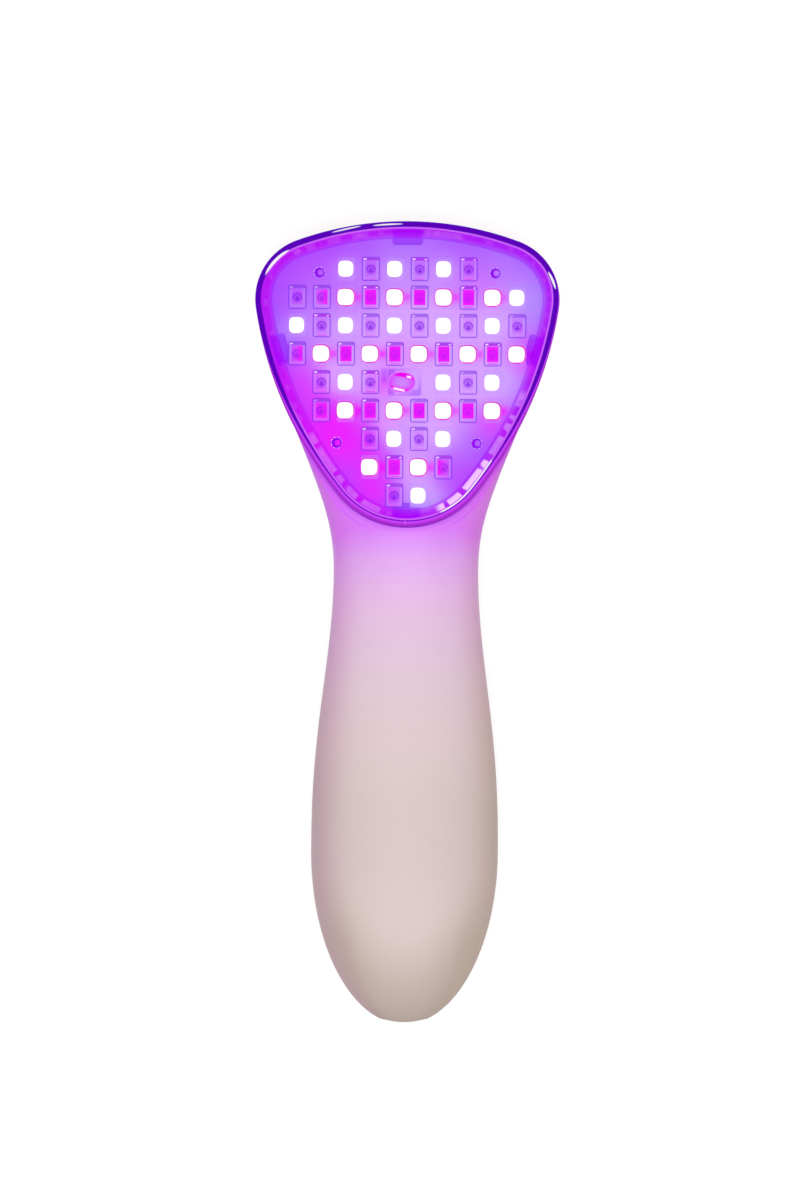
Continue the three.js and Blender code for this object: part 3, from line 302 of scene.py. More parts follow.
def run_along(ring: Array) -> Array:
    """How far along a closed ring each of its points lies from the first."""
    steps = np.hypot(*np.diff(ring, axis=0, append=ring[:1]).T)
    return np.concatenate([[0], np.cumsum(steps)[:-1]])


# Pieces


def shaded(mesh: bpy.types.Mesh, sharp_angle: float) -> None:
    """Shades a mesh smoothly, with hard edges where it turns by more than an angle in degrees."""
    mesh.polygons.foreach_set("use_smooth", np.ones(len(mesh.polygons), bool))
    mesh.set_sharp_from_angle(angle=math.radians(sharp_angle))


def carried(mesh: bpy.types.Mesh, values: Values) -> None:
    """Puts numbers or vectors for each point into a mesh, under names that a material reads."""
    for name, value in values.items():
        flat = value.reshape(len(mesh.vertices), -1)
        kind, slot = ("FLOAT", "value") if flat.shape[1] == 1 else ("FLOAT_VECTOR", "vector")
        layer = mesh.attributes.new(name, kind, "POINT")
        layer.data.foreach_set(slot, flat.astype(np.float32).ravel())


def mesh_points(mesh: bpy.types.Mesh) -> Array:
    """The points of a mesh in millimetres, one row each."""
    flat = np.empty(3 * len(mesh.vertices), np.float32)
    mesh.vertices.foreach_get("co", flat)
    return flat.reshape(-1, 3).astype(float) / MM


def placed(name: str, patch: Patch, finishes: list["Finish"], sharp_angle: float = 32) -> Piece:
    """A surface as an object at the origin, with its place in its mesh.

    Args:
        name: The piece's name.
        patch: The surface in millimetres.
        finishes: The finishes that the faces' numbers pick from.
        sharp_angle: The turn in degrees past which an edge is hard.

    Returns:
        The new object, linked to the scene.
    """
    closed = welded(patch)
    faces = [list(dict.fromkeys(row)) for row in closed.quads.tolist()]
    mesh = bpy.data.meshes.new(name)
    mesh.from_pydata((closed.points * MM).tolist(), [], faces)
    for finish in finishes:
        mesh.materials.append(material_of(finish))
    mesh.polygons.foreach_set("material_index", closed.painted().astype(np.int32))
    carried(mesh, closed.values)
    shaded(mesh, sharp_angle)
    mesh.update()
    piece = bpy.data.objects.new(name, mesh)
    bpy.context.scene.collection.objects.link(piece)
    return piece


def cut_away(piece: Piece, tool: Patch) -> None:
    """Takes a closed surface's inside out of a piece, and leaves nothing of the tool behind.

    Args:
        piece: The piece to cut.
        tool: The closed surface in millimetres.
    """
    cutter = placed(piece.name + "_tool", tool, [])
    cut = piece.modifiers.new("cut", "BOOLEAN")
    cut.operation, cut.solver, cut.object = "DIFFERENCE", "EXACT", cutter
    shown = bpy.context.evaluated_depsgraph_get()
    shown.update()
    piece.data = bpy.data.meshes.new_from_object(piece.evaluated_get(shown))
    piece.modifiers.clear()
    piece.data.name = piece.name
    shaded(piece.data, 32)
    spent = cutter.data
    bpy.data.objects.remove(cutter)
    bpy.data.meshes.remove(spent)


def stands_for(piece: Piece, node: str, body: str = "device") -> Piece:
    """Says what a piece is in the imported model.

    Args:
        piece: The piece.
        node: The node that it replaces.
        body: The body that it rides on.

    Returns:
        The piece.
    """
    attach(piece, body)
    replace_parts(piece, node)
    return piece


def node_box(node: str) -> Array:
    """The lowest and the highest corner of a node, in millimetres."""
    return np.array(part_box(node)) / MM


# Shader nodes


def tint(red: int, green: int, blue: int) -> tuple[float, float, float, float]:
    """A colour named as it looks on a screen, from 0 to 255, as linear values with alpha one."""
    shares = np.array([red, green, blue]) / 255
    linear = np.where(shares <= 0.04045, shares / 12.92, ((shares + 0.055) / 1.055) ** 2.4)
    return (*(float(part) for part in linear), 1.0)


class Effect(Enum):
    """The effects that several materials share, by the names of their node groups."""

    GRAIN = "moulded_grain"
    MOTTLE = "soft_mottling"
    BRUSHED = "brushed_lines"
    LIGHT = "board_light"


class Net:
    """Adds nodes to one tree; an input is a number, a colour or another node's output."""

    def __init__(self, tree: bpy.types.NodeTree) -> None:
        """Works in the given tree."""
        self.tree = tree

    def node(self, kind: str, inputs: dict | None = None, **settings: object) -> bpy.types.Node:
        """Adds a node.

        Args:
            kind: The node's type, without its ShaderNode prefix.
            inputs: Values for its inputs, by name or number.
            settings: Values for its own settings.

        Returns:
            The node.
        """
        made = self.tree.nodes.new("ShaderNode" + kind)
        for name, value in settings.items():
            setattr(made, name, value)
        for name, value in (inputs or {}).items():
            self.give(made.inputs[name], value)
        return made

    def give(self, socket: Socket, value: Value) -> None:
        """Joins an output to an input, or sets the input to a plain value."""
        if isinstance(value, bpy.types.NodeSocket):
            self.tree.links.new(value, socket)
        else:
            socket.default_value = value

    def math(self, operation: str, *values: Value) -> Socket:
        """The outcome of one sum on up to three numbers."""
        return self.node("Math", dict(enumerate(values)), operation=operation).outputs[0]

    def times(self, *values: Value) -> Socket:
        """The product of several numbers."""
        return reduce(lambda first, other: self.math("MULTIPLY", first, other), values)

    def largest(self, *values: Value) -> Socket:
        """The largest of several numbers."""
        return reduce(lambda first, other: self.math("MAXIMUM", first, other), values)

    def reach(self, x: Value, y: Value) -> Socket:
        """The length of the line from the origin to (x, y)."""
        return self.math("SQRT", self.math("ADD", self.times(x, x), self.times(y, y)))

    def step(
        self, value: Value, low: float, high: float, start: float = 0, end: float = 1
    ) -> Socket:
        """A smooth change from start to end while a value goes from low to high."""
        sizes = {"From Min": low, "From Max": high, "To Min": start, "To Max": end}
        made = self.node("MapRange", {"Value": value, **sizes}, interpolation_type="SMOOTHSTEP")
        return made.outputs["Result"]

    def below(self, value: Value, low: float, high: float) -> Socket:
        """One while a value is below low, falling to zero at high."""
        return self.step(value, low, high, 1, 0)

    def bump_at(self, value: Value, centre: float, half: float, soft: float) -> Socket:
        """One while a value lies within half of a centre, falling to zero over soft beyond."""
        off = self.math("ABSOLUTE", self.math("SUBTRACT", value, centre))
        return self.below(off, half, half + soft)

    def mix(self, share: Value, first: Value, second: Value, blend: str = "MIX") -> Socket:
        """Two colours mixed by a share."""
        inputs = {0: share, 6: first, 7: second}
        return self.node("Mix", inputs, data_type="RGBA", blend_type=blend).outputs[2]

    def ramp(self, value: Value, stops: list[tuple[float, tuple]]) -> Socket:
        """A colour by a value from 0 to 1, through stops of place and colour."""
        made = self.node("ValToRGB", {0: value})
        elements = made.color_ramp.elements
        for element, (place, colour) in zip(elements, (stops[0], stops[-1])):
            element.position, element.color = place, colour
        for place, colour in stops[1:-1]:
            elements.new(place).color = colour
        return made.outputs[0]

    def number(self, name: str) -> Socket:
        """A number that the piece's points carry."""
        return self.node("Attribute", attribute_name=name).outputs["Fac"]

    def vector(self, name: str) -> Socket:
        """A vector that the piece's points carry."""
        return self.node("Attribute", attribute_name=name).outputs["Vector"]

    def axes(self, vector: Value) -> Sockets:
        """The X, Y and Z of a vector."""
        return self.node("SeparateXYZ", {0: vector}).outputs

    def stretched(self, vector: Value, sizes: Triple) -> Socket:
        """A vector with each axis multiplied by its own size."""
        return self.node("VectorMath", {0: vector, 1: sizes}, operation="MULTIPLY").outputs[0]

    def place(self) -> Socket:
        """The piece's own coordinates."""
        return self.node("TexCoord").outputs["Object"]

    def noise(self, scale: Value, detail: float = 2.0, vector: Value | None = None) -> Socket:
        """Soft noise from 0 to 1 over the piece's own coordinates or another vector."""
        over = self.place() if vector is None else vector
        inputs = {"Vector": over, "Scale": scale, "Detail": detail}
        return self.node("TexNoise", inputs).outputs[0]

    def relief(self, height: Value, depth: float, strength: float = 1.0) -> Socket:
        """The normal over a height from 0 to 1 that stands for a depth in millimetres."""
        inputs = {"Height": height, "Distance": depth * MM, "Strength": strength}
        return self.node("Bump", inputs).outputs[0]

    def seen(self) -> Socket:
        """One for what the camera sees, straight, in a gloss or through the clear cover."""
        path = self.node("LightPath").outputs
        kinds = ("Camera", "Glossy", "Transmission")
        return self.largest(*(path[f"Is {kind} Ray"] for kind in kinds))

    def group(self, effect: Effect, inputs: dict | None = None) -> Sockets:
        """Places an effect with its own values, and returns its outputs."""
        made = self.tree.nodes.new("ShaderNodeGroup")
        made.node_tree = bpy.data.node_groups[effect.value]
        for name, value in (inputs or {}).items():
            self.give(made.inputs[name], value)
        return made.outputs

    def given_off(
        self, colour: Socket, strength: float, dimmed: float, roughness: float, gloss: Value
    ) -> Inputs:
        """The inputs of a surface that gives off a colour, and itself has it dimmed by a share."""
        return {
            "Base Color": self.mix(dimmed, colour, BLACK),
            "Emission Color": colour,
            "Emission Strength": strength,
            "Roughness": roughness,
            "Specular IOR Level": gloss,
        }



def grain(net: Net, given: Sockets) -> dict[str, Socket]:
    """The fine spark-eroded grain of a mould: two sizes of noise, as a height and as a tone."""
    fine = net.noise(given["Scale"], 3.0)
    broad = net.noise(net.times(given["Scale"], 0.12))
    swing = net.math("SUBTRACT", broad, 0.5)
    return {
        "Height": net.math("MULTIPLY_ADD", broad, 0.5, fine),
        "Tone": net.math("MULTIPLY_ADD", swing, given["Tone Strength"], 1.0),
    }


def mottle(net: Net, given: Sockets) -> dict[str, Socket]:
    """Slow changes over a moulding, for its gloss."""
    return {"Mask": net.step(net.noise(given["Scale"], 3.0), 0.3, 0.7)}


def brushed(net: Net, given: Sockets) -> dict[str, Socket]:
    """Lines along the device: noise whose coordinates are squeezed along Y."""
    squeezed = net.stretched(net.place(), (1.0, 0.04, 1.0))
    return {"Lines": net.noise(given["Scale"], 4.0, squeezed)}


def board_light(net: Net, given: Sockets) -> dict[str, Socket]:
    """The colour that the emitters' light gives to what lies under the cover.

    Violet is the ground colour. The carried values pale_light, blue_light and red_light pull it
    towards lavender, blue lavender and magenta.
    """
    red = net.math("ADD", net.number("red_light"), given["Extra Red"])
    colour = net.mix(net.number("pale_light"), tint(172, 74, 254), tint(215, 166, 255))
    colour = net.mix(net.number("blue_light"), colour, tint(174, 146, 255))
    colour = net.mix(net.math("MINIMUM", red, 1.0), colour, tint(234, 34, 252))
    return {"Colour": colour}


def build_effect(
    effect: Effect, inputs: dict[str, float], work: Callable[[Net, Sockets], dict[str, Socket]]
) -> None:
    """Builds the node group of an effect.

    Args:
        effect: Which effect it is.
        inputs: Each input's name and its first value.
        work: Adds the nodes, and returns each output by its name.
    """
    tree = bpy.data.node_groups.new(effect.value, "ShaderNodeTree")
    for name, value in inputs.items():
        socket = tree.interface.new_socket(name, in_out="INPUT", socket_type="NodeSocketFloat")
        socket.default_value = value
    net = Net(tree)
    outputs = work(net, tree.nodes.new("NodeGroupInput").outputs)
    for name in outputs:
        kind = "NodeSocketColor" if name == "Colour" else "NodeSocketFloat"
        tree.interface.new_socket(name, in_out="OUTPUT", socket_type=kind)
    result = tree.nodes.new("NodeGroupOutput")
    for name, socket in outputs.items():
        net.give(result.inputs[name], socket)


# Finishes


@dataclass(frozen=True)
class Finish:
    """What a piece is made of.

    Attributes:
        name: The material's name.
    """

    name: str

    def inputs(self, net: Net) -> Inputs:
        """The inputs of the Principled shader, by name; each kind of finish has its own."""
        raise NotImplementedError


@cache
def material_of(finish: Finish) -> bpy.types.Material:
    """The material of a finish, built when it is first asked for."""
    material = bpy.data.materials.new(finish.name)
    material.use_nodes = True
    material.node_tree.nodes.clear()
    net = Net(material.node_tree)
    surface = net.node("BsdfPrincipled", finish.inputs(net))
    net.node("OutputMaterial", {"Surface": surface.outputs[0]})
    material.cycles.emission_sampling = "NONE"
    return material


@dataclass(frozen=True)
class MouldedPlastic(Finish):
    """Moulded plastic with the fine grain of its mould.

    Attributes:
        depth: The depth of the grain in millimetres.
    """

    colour: Colour
    roughness: float = 0.45
    depth: float = 0.01

    def inputs(self, net: Net) -> Inputs:
        """The colour with the grain's tone, and a gloss that changes slowly."""
        own = net.group(Effect.GRAIN, {"Tone Strength": 0.06})
        mask = net.group(Effect.MOTTLE, {"Scale": 90.0})["Mask"]
        return {
            "Base Color": net.mix(1.0, tint(*self.colour), own["Tone"], "MULTIPLY"),
            "Roughness": net.step(mask, 0, 1, self.roughness - 0.04, self.roughness + 0.05),
            "Normal": net.relief(own["Height"], self.depth, 0.6),
        }


@dataclass(frozen=True)
class SheetMetal(Finish):
    """Drawn or rolled metal with fine lines along it.

    Attributes:
        fineness: How fine its lines are.
    """

    colour: Colour
    roughness: float = 0.3
    fineness: float = 900.0

    def inputs(self, net: Net) -> Inputs:
        """The lines as darker, duller and lower strokes."""
        dark = (int(part * 0.8) for part in self.colour)
        lines = net.group(Effect.BRUSHED, {"Scale": self.fineness})["Lines"]
        dull = net.step(lines, 0.2, 0.8, self.roughness - 0.08, self.roughness + 0.1)
        return {
            "Metallic": 1.0,
            "Base Color": net.mix(lines, tint(*dark), tint(*self.colour)),
            "Roughness": dull,
            "Normal": net.relief(lines, 0.01, 0.4),
        }


@dataclass(frozen=True)
class SoftFoam(Finish):
    """Open foam with small dark pores."""

    colour: Colour

    def inputs(self, net: Net) -> Inputs:
        """The pores as dark dents in the middles of cells."""
        dark = (int(part * 0.35) for part in self.colour)
        cells = net.node("TexVoronoi", {"Vector": net.place(), "Scale": 1600.0})
        pores = net.step(cells.outputs["Distance"], 0.1, 0.6)
        return {
            "Base Color": net.mix(pores, tint(*dark), tint(*self.colour)),
            "Normal": net.relief(pores, 0.2),
            "Roughness": 0.95,
        }


@dataclass(frozen=True)
class BoardLacquer(Finish):
    """A printed board: lacquer over copper tracks, which show as raised lighter bands.

    Attributes:
        tracks: The colour over the tracks.
    """

    lacquer: Colour
    tracks: Colour

    def inputs(self, net: Net) -> Inputs:
        """The tracks as bands over square cells."""
        inputs = {"Vector": net.place(), "Scale": 420.0}
        spots = net.node("TexVoronoi", inputs, distance="MANHATTAN").outputs["Position"]
        wave = net.node("TexWave", {"Vector": spots, "Scale": 160.0, "Distortion": 0.0})
        bands = net.step(wave.outputs["Fac"], 0.45, 0.6)
        return {
            "Base Color": net.mix(bands, tint(*self.lacquer), tint(*self.tracks)),
            "Normal": net.relief(bands, 0.03),
            "Roughness": 0.35,
            "Coat Weight": 0.4,
        }


@dataclass(frozen=True)
class HousingPlastic(Finish):
    """The housing's satin plastic, warm white, with the head's light soaking into the neck."""

    def inputs(self, net: Net) -> Inputs:
        """The colour by the carried glow, from the grip to the head, with its shades.

        The carried cover_distance adds a painted violet shade beside the cover, tip a painted shade at
        the grip's end, and side, from -1 to 1 across, a painted shade on each flank, cooler on one and
        warmer on the other.
        """
        along = net.number("glow")
        colour = net.ramp(along, [
            (0.0, tint(227, 208, 206)), (0.14, tint(222, 202, 202)),
            (0.295, tint(222, 203, 202)), (0.45, tint(229, 206, 209)),
            (0.61, tint(231, 205, 217)), (0.76, tint(232, 196, 227)),
            (0.84, tint(232, 187, 233)), (0.918, tint(227, 170, 242)),
            (0.957, tint(224, 151, 246)), (1.0, tint(220, 126, 247)),
        ])
        # Painted violet shade beside the cover, by the carried cover_distance.
        near = net.step(net.number("cover_distance"), 0.1, 1.8, 0.5, 0.0)
        colour = net.mix(near, colour, tint(196, 78, 236))
        side = net.number("side")
        # Painted shade: darker at the grip's end, cooler on the left flank and warmer on the right.
        for share, shade in (
            (net.number("tip"), tint(232, 230, 220)),
            (net.step(side, -0.55, -1.0), tint(246, 228, 240)),
            (net.step(side, 0.6, 1.0), tint(250, 243, 231)),
        ):
            colour = net.mix(share, colour, shade, "MULTIPLY")
        flank = net.step(net.math("ABSOLUTE", side), 0.5, 1.0, 0.07, 0.16)
        strength = net.times(net.math("POWER", along, 3.0), flank)
        own = net.group(Effect.GRAIN, {"Tone Strength": 0.025})
        mask = net.group(Effect.MOTTLE, {"Scale": 45.0})["Mask"]
        return {
            "Base Color": net.mix(1.0, colour, own["Tone"], "MULTIPLY"),
            "Emission Color": net.mix(strength, BLACK, tint(224, 128, 250)),
            "Emission Strength": 1.0,
            "Roughness": net.step(mask, 0, 1, 0.44, 0.52),
            "Normal": net.relief(own["Height"], 0.008, 0.5),
            "Specular IOR Level": 0.22,
        }


@dataclass(frozen=True)
class LitBoard(Finish):
    """White lacquer under the emitters' light.

    Attributes:
        glow: How much of the colour is given off, the rest being the lacquer's own.
    """

    glow: float = 0.72

    def inputs(self, net: Net) -> Inputs:
        """The light's colour, violet by the carried dark, mottled by the solder resist."""
        light = net.group(Effect.LIGHT)["Colour"]
        own = net.group(Effect.GRAIN, {"Scale": 1500.0, "Tone Strength": 0.05})
        deep = net.mix(net.number("dark"), light, tint(150, 0, 238))
        colour = net.mix(1.0, deep, own["Tone"], "MULTIPLY")
        normal = net.relief(own["Height"], 0.01, 0.2)
        return net.given_off(colour, self.glow, 0.68, 0.5, 0.02) | {"Normal": normal}


@dataclass(frozen=True)
class EmitterPackage(Finish):
    """The clear package of an unlit emitter, lit from its sides."""

    def inputs(self, net: Net) -> Inputs:
        """The package as it looks from above.

        The carried vector spot holds the place in the package, X and Y from -1 to 1, and its own
        random share. Dark lines run along the edge and the window, and a chip lies in a darker well
        in the middle, whose upper side has a ring of painted shade with a painted highlight inside it.
        A painted glint and a pink bar of painted red light lie at the ends. The carried red_sides is
        the red light that falls in from beside, painted as a magenta flood.
        """
        x, y, own = net.axes(net.vector("spot"))
        across, along = net.math("ABSOLUTE", x), net.math("ABSOLUTE", y)
        edge = net.largest(net.step(across, 0.83, 0.94), net.step(along, 0.88, 0.96))
        inside = net.times(net.below(across, 0.58, 0.68), net.below(along, 0.60, 0.68))
        strip = net.bump_at(y, 0.80, 0.09, 0.05)
        foot = net.times(net.bump_at(y, -0.80, 0.05, 0.05), net.below(across, 0.45, 0.65))

        well_x, well_y = net.times(x, 1.9), net.math("MULTIPLY_ADD", y, 2.55, 0.1)
        reach = net.reach(well_x, well_y)
        # The well's upper side carries a ring of painted shade (arc) with a painted highlight inside it
        # (light_arc).
        upper = net.step(well_y, -0.5, 0.1)
        disc = net.below(reach, 0.75, 1.25)
        arc = net.times(net.bump_at(reach, 0.85, 0.06, 0.2), upper)
        light_arc = net.times(net.bump_at(reach, 0.52, 0.06, 0.16), upper)
        bar = net.times(
            net.bump_at(well_x, 0, 0.30, 0.2), net.bump_at(well_y, -0.42, 0.12, 0.2)
        )
        chip = net.largest(bar, net.below(reach, 0.10, 0.34))

        # Red light from lit neighbours, painted as a magenta flood over the window.
        red_left, red_right, _ = net.axes(net.vector("red_sides"))
        from_left = net.times(red_left, net.step(x, -0.62, 0.50, 1, 0.25))
        from_right = net.times(red_right, net.step(x, -0.50, 0.62, 0.25, 1))
        flood = net.times(net.math("ADD", from_left, from_right), inside)
        # Painted red light: a pink bar at the foot and a tint in the top strip, stronger on some
        # packages.
        red = net.math("MULTIPLY_ADD", foot, net.step(own, 0.1, 0.8, 0.1, 0.8), flood)
        red = net.math("MULTIPLY_ADD", strip, net.step(own, 0.4, 0.8, 0.0, 0.9), red)

        light = net.group(Effect.LIGHT, {"Extra Red": red})["Colour"]
        frame_light = net.mix(0.22, light, tint(206, 170, 255))
        inner = net.mix(0.30, light, tint(206, 60, 255))
        colour = net.mix(inside, frame_light, inner)
        veil = net.step(flood, 0.0, 0.9, 1.0, 0.45)
        shade = net.largest(
            net.times(edge, 0.82), net.times(strip, 0.6),
            net.times(disc, veil, 0.6), net.times(arc, veil, 0.78),
        )
        shade = net.math("SUBTRACT", shade, net.times(light_arc, 0.22))
        shade = net.largest(shade, net.times(chip, veil, 0.92))
        colour = net.mix(net.times(flood, 0.6), colour, tint(246, 0, 250))
        colour = net.mix(shade, colour, tint(134, 0, 226))

        # Painted highlights: a glint at the left of the top end, and on some packages a second one at
        # the right, mixed to near white.
        slant = net.math("MULTIPLY_ADD", x, -0.12, y)
        glint = net.times(
            net.bump_at(x, -0.66, 0.10, 0.14), net.bump_at(slant, 0.90, 0.03, 0.05),
            net.step(own, 0.15, 0.6, 0.3, 1),
        )
        other = net.times(
            net.bump_at(x, 0.68, 0.06, 0.12), net.bump_at(slant, 0.72, 0.02, 0.05),
            net.step(own, 0.6, 0.9),
        )
        colour = net.mix(net.largest(glint, other), colour, tint(255, 232, 255))
        return net.given_off(colour, 0.72, 0.68, 0.3, 0.015)


@dataclass(frozen=True)
class Glow(Finish):
    """A surface that is itself a light."""

    colour: Colour

    def inputs(self, net: Net) -> Inputs:
        """The colour, given off in full over a fifth of itself."""
        light = tint(*self.colour)
        dim = (*(0.2 * part for part in light[:3]), 1.0)
        given = {"Emission Color": light, "Emission Strength": 1.0}
        return given | {"Base Color": dim, "Roughness": 0.3}


@dataclass(frozen=True)
class PaintedHighlight:
    """A painted highlight, standing for a lamp's reflection on the cover's rolled edge.

    Attributes:
        start, end: Where it starts and ends along the outline.
        inset: How far in from the outline its middle lies.
        half_width: Half its width.
        lean: How far it leans inwards from its middle to its end.
    """

    start: float
    end: float
    inset: float
    half_width: float
    lean: float


@dataclass(frozen=True)
class ClearCoverPlastic(Finish):
    """The cover's clear plastic, whose thick edge gathers the violet light, with painted light and
    highlights on the edge.
    """

    painted_highlights: tuple[PaintedHighlight, ...]

    def skirt(self, net: Net, inward: Socket, band: Socket, flare: Socket) -> Socket:
        """The violet skirt inside the bright line.

        Args:
            net: The material's net.
            inward: The distance in from the outline.
            band: The vector of the distances along and in from the outline.
            flare: How brightly the painted light on the moulded blocks shines.

        Returns:
            Its colour.
        """
        violet = net.mix(net.number("warm"), tint(174, 0, 248), tint(186, 0, 246))
        colour = net.mix(0.92, net.group(Effect.LIGHT)["Colour"], violet)
        spots = net.step(net.noise(0.42, 0.0, band), 0.52, 0.66)
        marks = net.times(spots, net.bump_at(inward, 2.3, 0.2, 0.4))
        blocks = net.times(
            net.step(net.noise(1.0, 0.0, net.stretched(band, (0.42, 0.12, 1.0))), 0.38, 0.46),
            net.step(inward, 1.75, 1.95), net.below(inward, 2.9, 3.25),
        )
        clip = net.times(net.number("clip"), net.step(inward, 1.6, 1.9))
        # The blocks' share is painted light, mixed towards pale pink.
        for share, shade in (
            (net.times(net.number("red_light"), 0.8), tint(226, 22, 250)),
            (net.times(marks, 0.14), tint(232, 120, 255)),
            (net.times(blocks, flare), tint(252, 206, 255)),
            (clip, tint(172, 2, 251)),
        ):
            colour = net.mix(share, colour, shade)
        return colour

    def inputs(self, net: Net) -> Inputs:
        """The bands of the edge, the skirt and the clear window.

        The carried outer runs from 0 to 1 over the purple band on the lower edge, and rim over
        the indigo band inside it; then come a bright line of painted light, the skirt and the clear
        window. Painted highlights lie over the edge.
        """
        rim, inward, flare = (net.number(name) for name in ("rim", "inward", "flare"))
        band = net.vector("band")
        along = net.axes(band)[0]
        skirt = self.skirt(net, inward, band, flare)
        purple = net.step(net.number("outer"), 0.15, 0.9)
        outer = net.mix(purple, tint(172, 44, 208), tint(208, 70, 255))
        indigo = net.mix(net.number("low"), tint(92, 0, 190), tint(128, 0, 208))
        # The bright line is painted light, turned near white where the blocks flare.
        line = net.mix(net.number("left"), tint(214, 104, 255), skirt)
        line = net.mix(net.step(flare, 0.4, 1.0), line, tint(255, 244, 255))
        past = net.math("SUBTRACT", inward, net.number("line_at"))
        colour = net.mix(net.step(rim, -0.12, 0.06), outer, indigo)
        colour = net.mix(net.step(rim, 0.92, 1.04), colour, line)
        colour = net.mix(net.step(past, 0.20, 0.42), colour, skirt)
        # Painted highlights, each an ellipse along the edge, mixed to near white.
        for highlight in self.painted_highlights:
            span, ends = highlight.end - highlight.start, highlight.end + highlight.start
            share = net.math("MULTIPLY_ADD", along, 2 / span, -ends / span)
            middle = net.math("MULTIPLY_ADD", share, highlight.lean, highlight.inset)
            off = net.math("DIVIDE", net.math("SUBTRACT", inward, middle), highlight.half_width)
            size = net.math("ADD", net.times(share, share), net.times(off, off))
            colour = net.mix(net.below(size, 0.7, 1.05), colour, tint(255, 250, 255))
        clear = net.ramp(net.times(inward, 0.25), [
            (place, (grey, grey, grey, 1)) for place, grey in
            ((0.0, 0.97), (0.35, 0.92), (0.65, 0.90), (0.82, 0.56), (0.95, 0.03))
        ])
        facing = net.node("LayerWeight", {"Blend": 0.35}).outputs["Facing"]
        solid = net.largest(clear, net.step(facing, 0.55, 1.0, 0.0, 0.6))
        gloss = net.times(net.step(facing, 0.2, 0.8, 0.0, 0.4), net.step(inward, 0.6, 2.4))
        alpha = net.times(solid, net.step(net.number("skin"), 0, 1, 0.1, 1))
        return net.given_off(colour, 0.74, 0.72, 0.06, gloss) | {"Alpha": alpha}


@dataclass(frozen=True)
class LensPlastic(Finish):
    """The clear dome over the sensor, with magenta light running round its rim."""

    def inputs(self, net: Net) -> Inputs:
        """Magenta arcs above and below and two painted highlights, a stroke and a spark, by the carried
        vector spot.

        The vector goes from -1 to 1 across and along the dome.
        """
        x, y, _ = net.axes(net.vector("spot"))
        slant = net.math("MULTIPLY_ADD", x, 0.28, y)
        reach = net.reach(x, y)
        upper = net.times(net.step(slant, 0.42, 0.62), net.below(slant, 0.86, 1.05))
        lower = net.times(net.step(slant, -0.5, -0.66), net.step(slant, -0.98, -0.84))
        # Painted highlights: a stroke at the lower left and a spark at the upper right.
        highlight = net.times(
            net.step(slant, -0.62, -0.72), net.step(slant, -0.92, -0.84),
            net.bump_at(x, -0.2, 0.3, 0.2),
        )
        spark = net.times(
            net.bump_at(x, 0.52, 0.08, 0.14), net.bump_at(slant, 0.66, 0.06, 0.08)
        )
        colour = net.mix(net.step(reach, 0.3, 0.85), tint(206, 128, 255), tint(218, 84, 255))
        for share, shade in (
            (net.largest(upper, lower), tint(240, 0, 238)),
            (net.step(reach, 0.93, 1.0), tint(224, 132, 255)),
            (net.largest(highlight, spark), tint(255, 240, 255)),
        ):
            colour = net.mix(share, colour, shade)
        return net.given_off(colour, 0.75, 0.7, 0.08, 0.02)


@dataclass(frozen=True)
class FloorSheet(Finish):
    """The floor, which looks white to the camera and still takes the device's shadow."""

    def inputs(self, net: Net) -> Inputs:
        """A plain grey that gives off white where the camera sees it."""
        return {
            "Base Color": (0.55, 0.55, 0.55, 1),
            "Roughness": 0.9,
            "Specular IOR Level": 0.0,
            "Emission Color": net.mix(net.seen(), BLACK, WHITE),
            "Emission Strength": 0.66,
        }


# Sub-assemblies


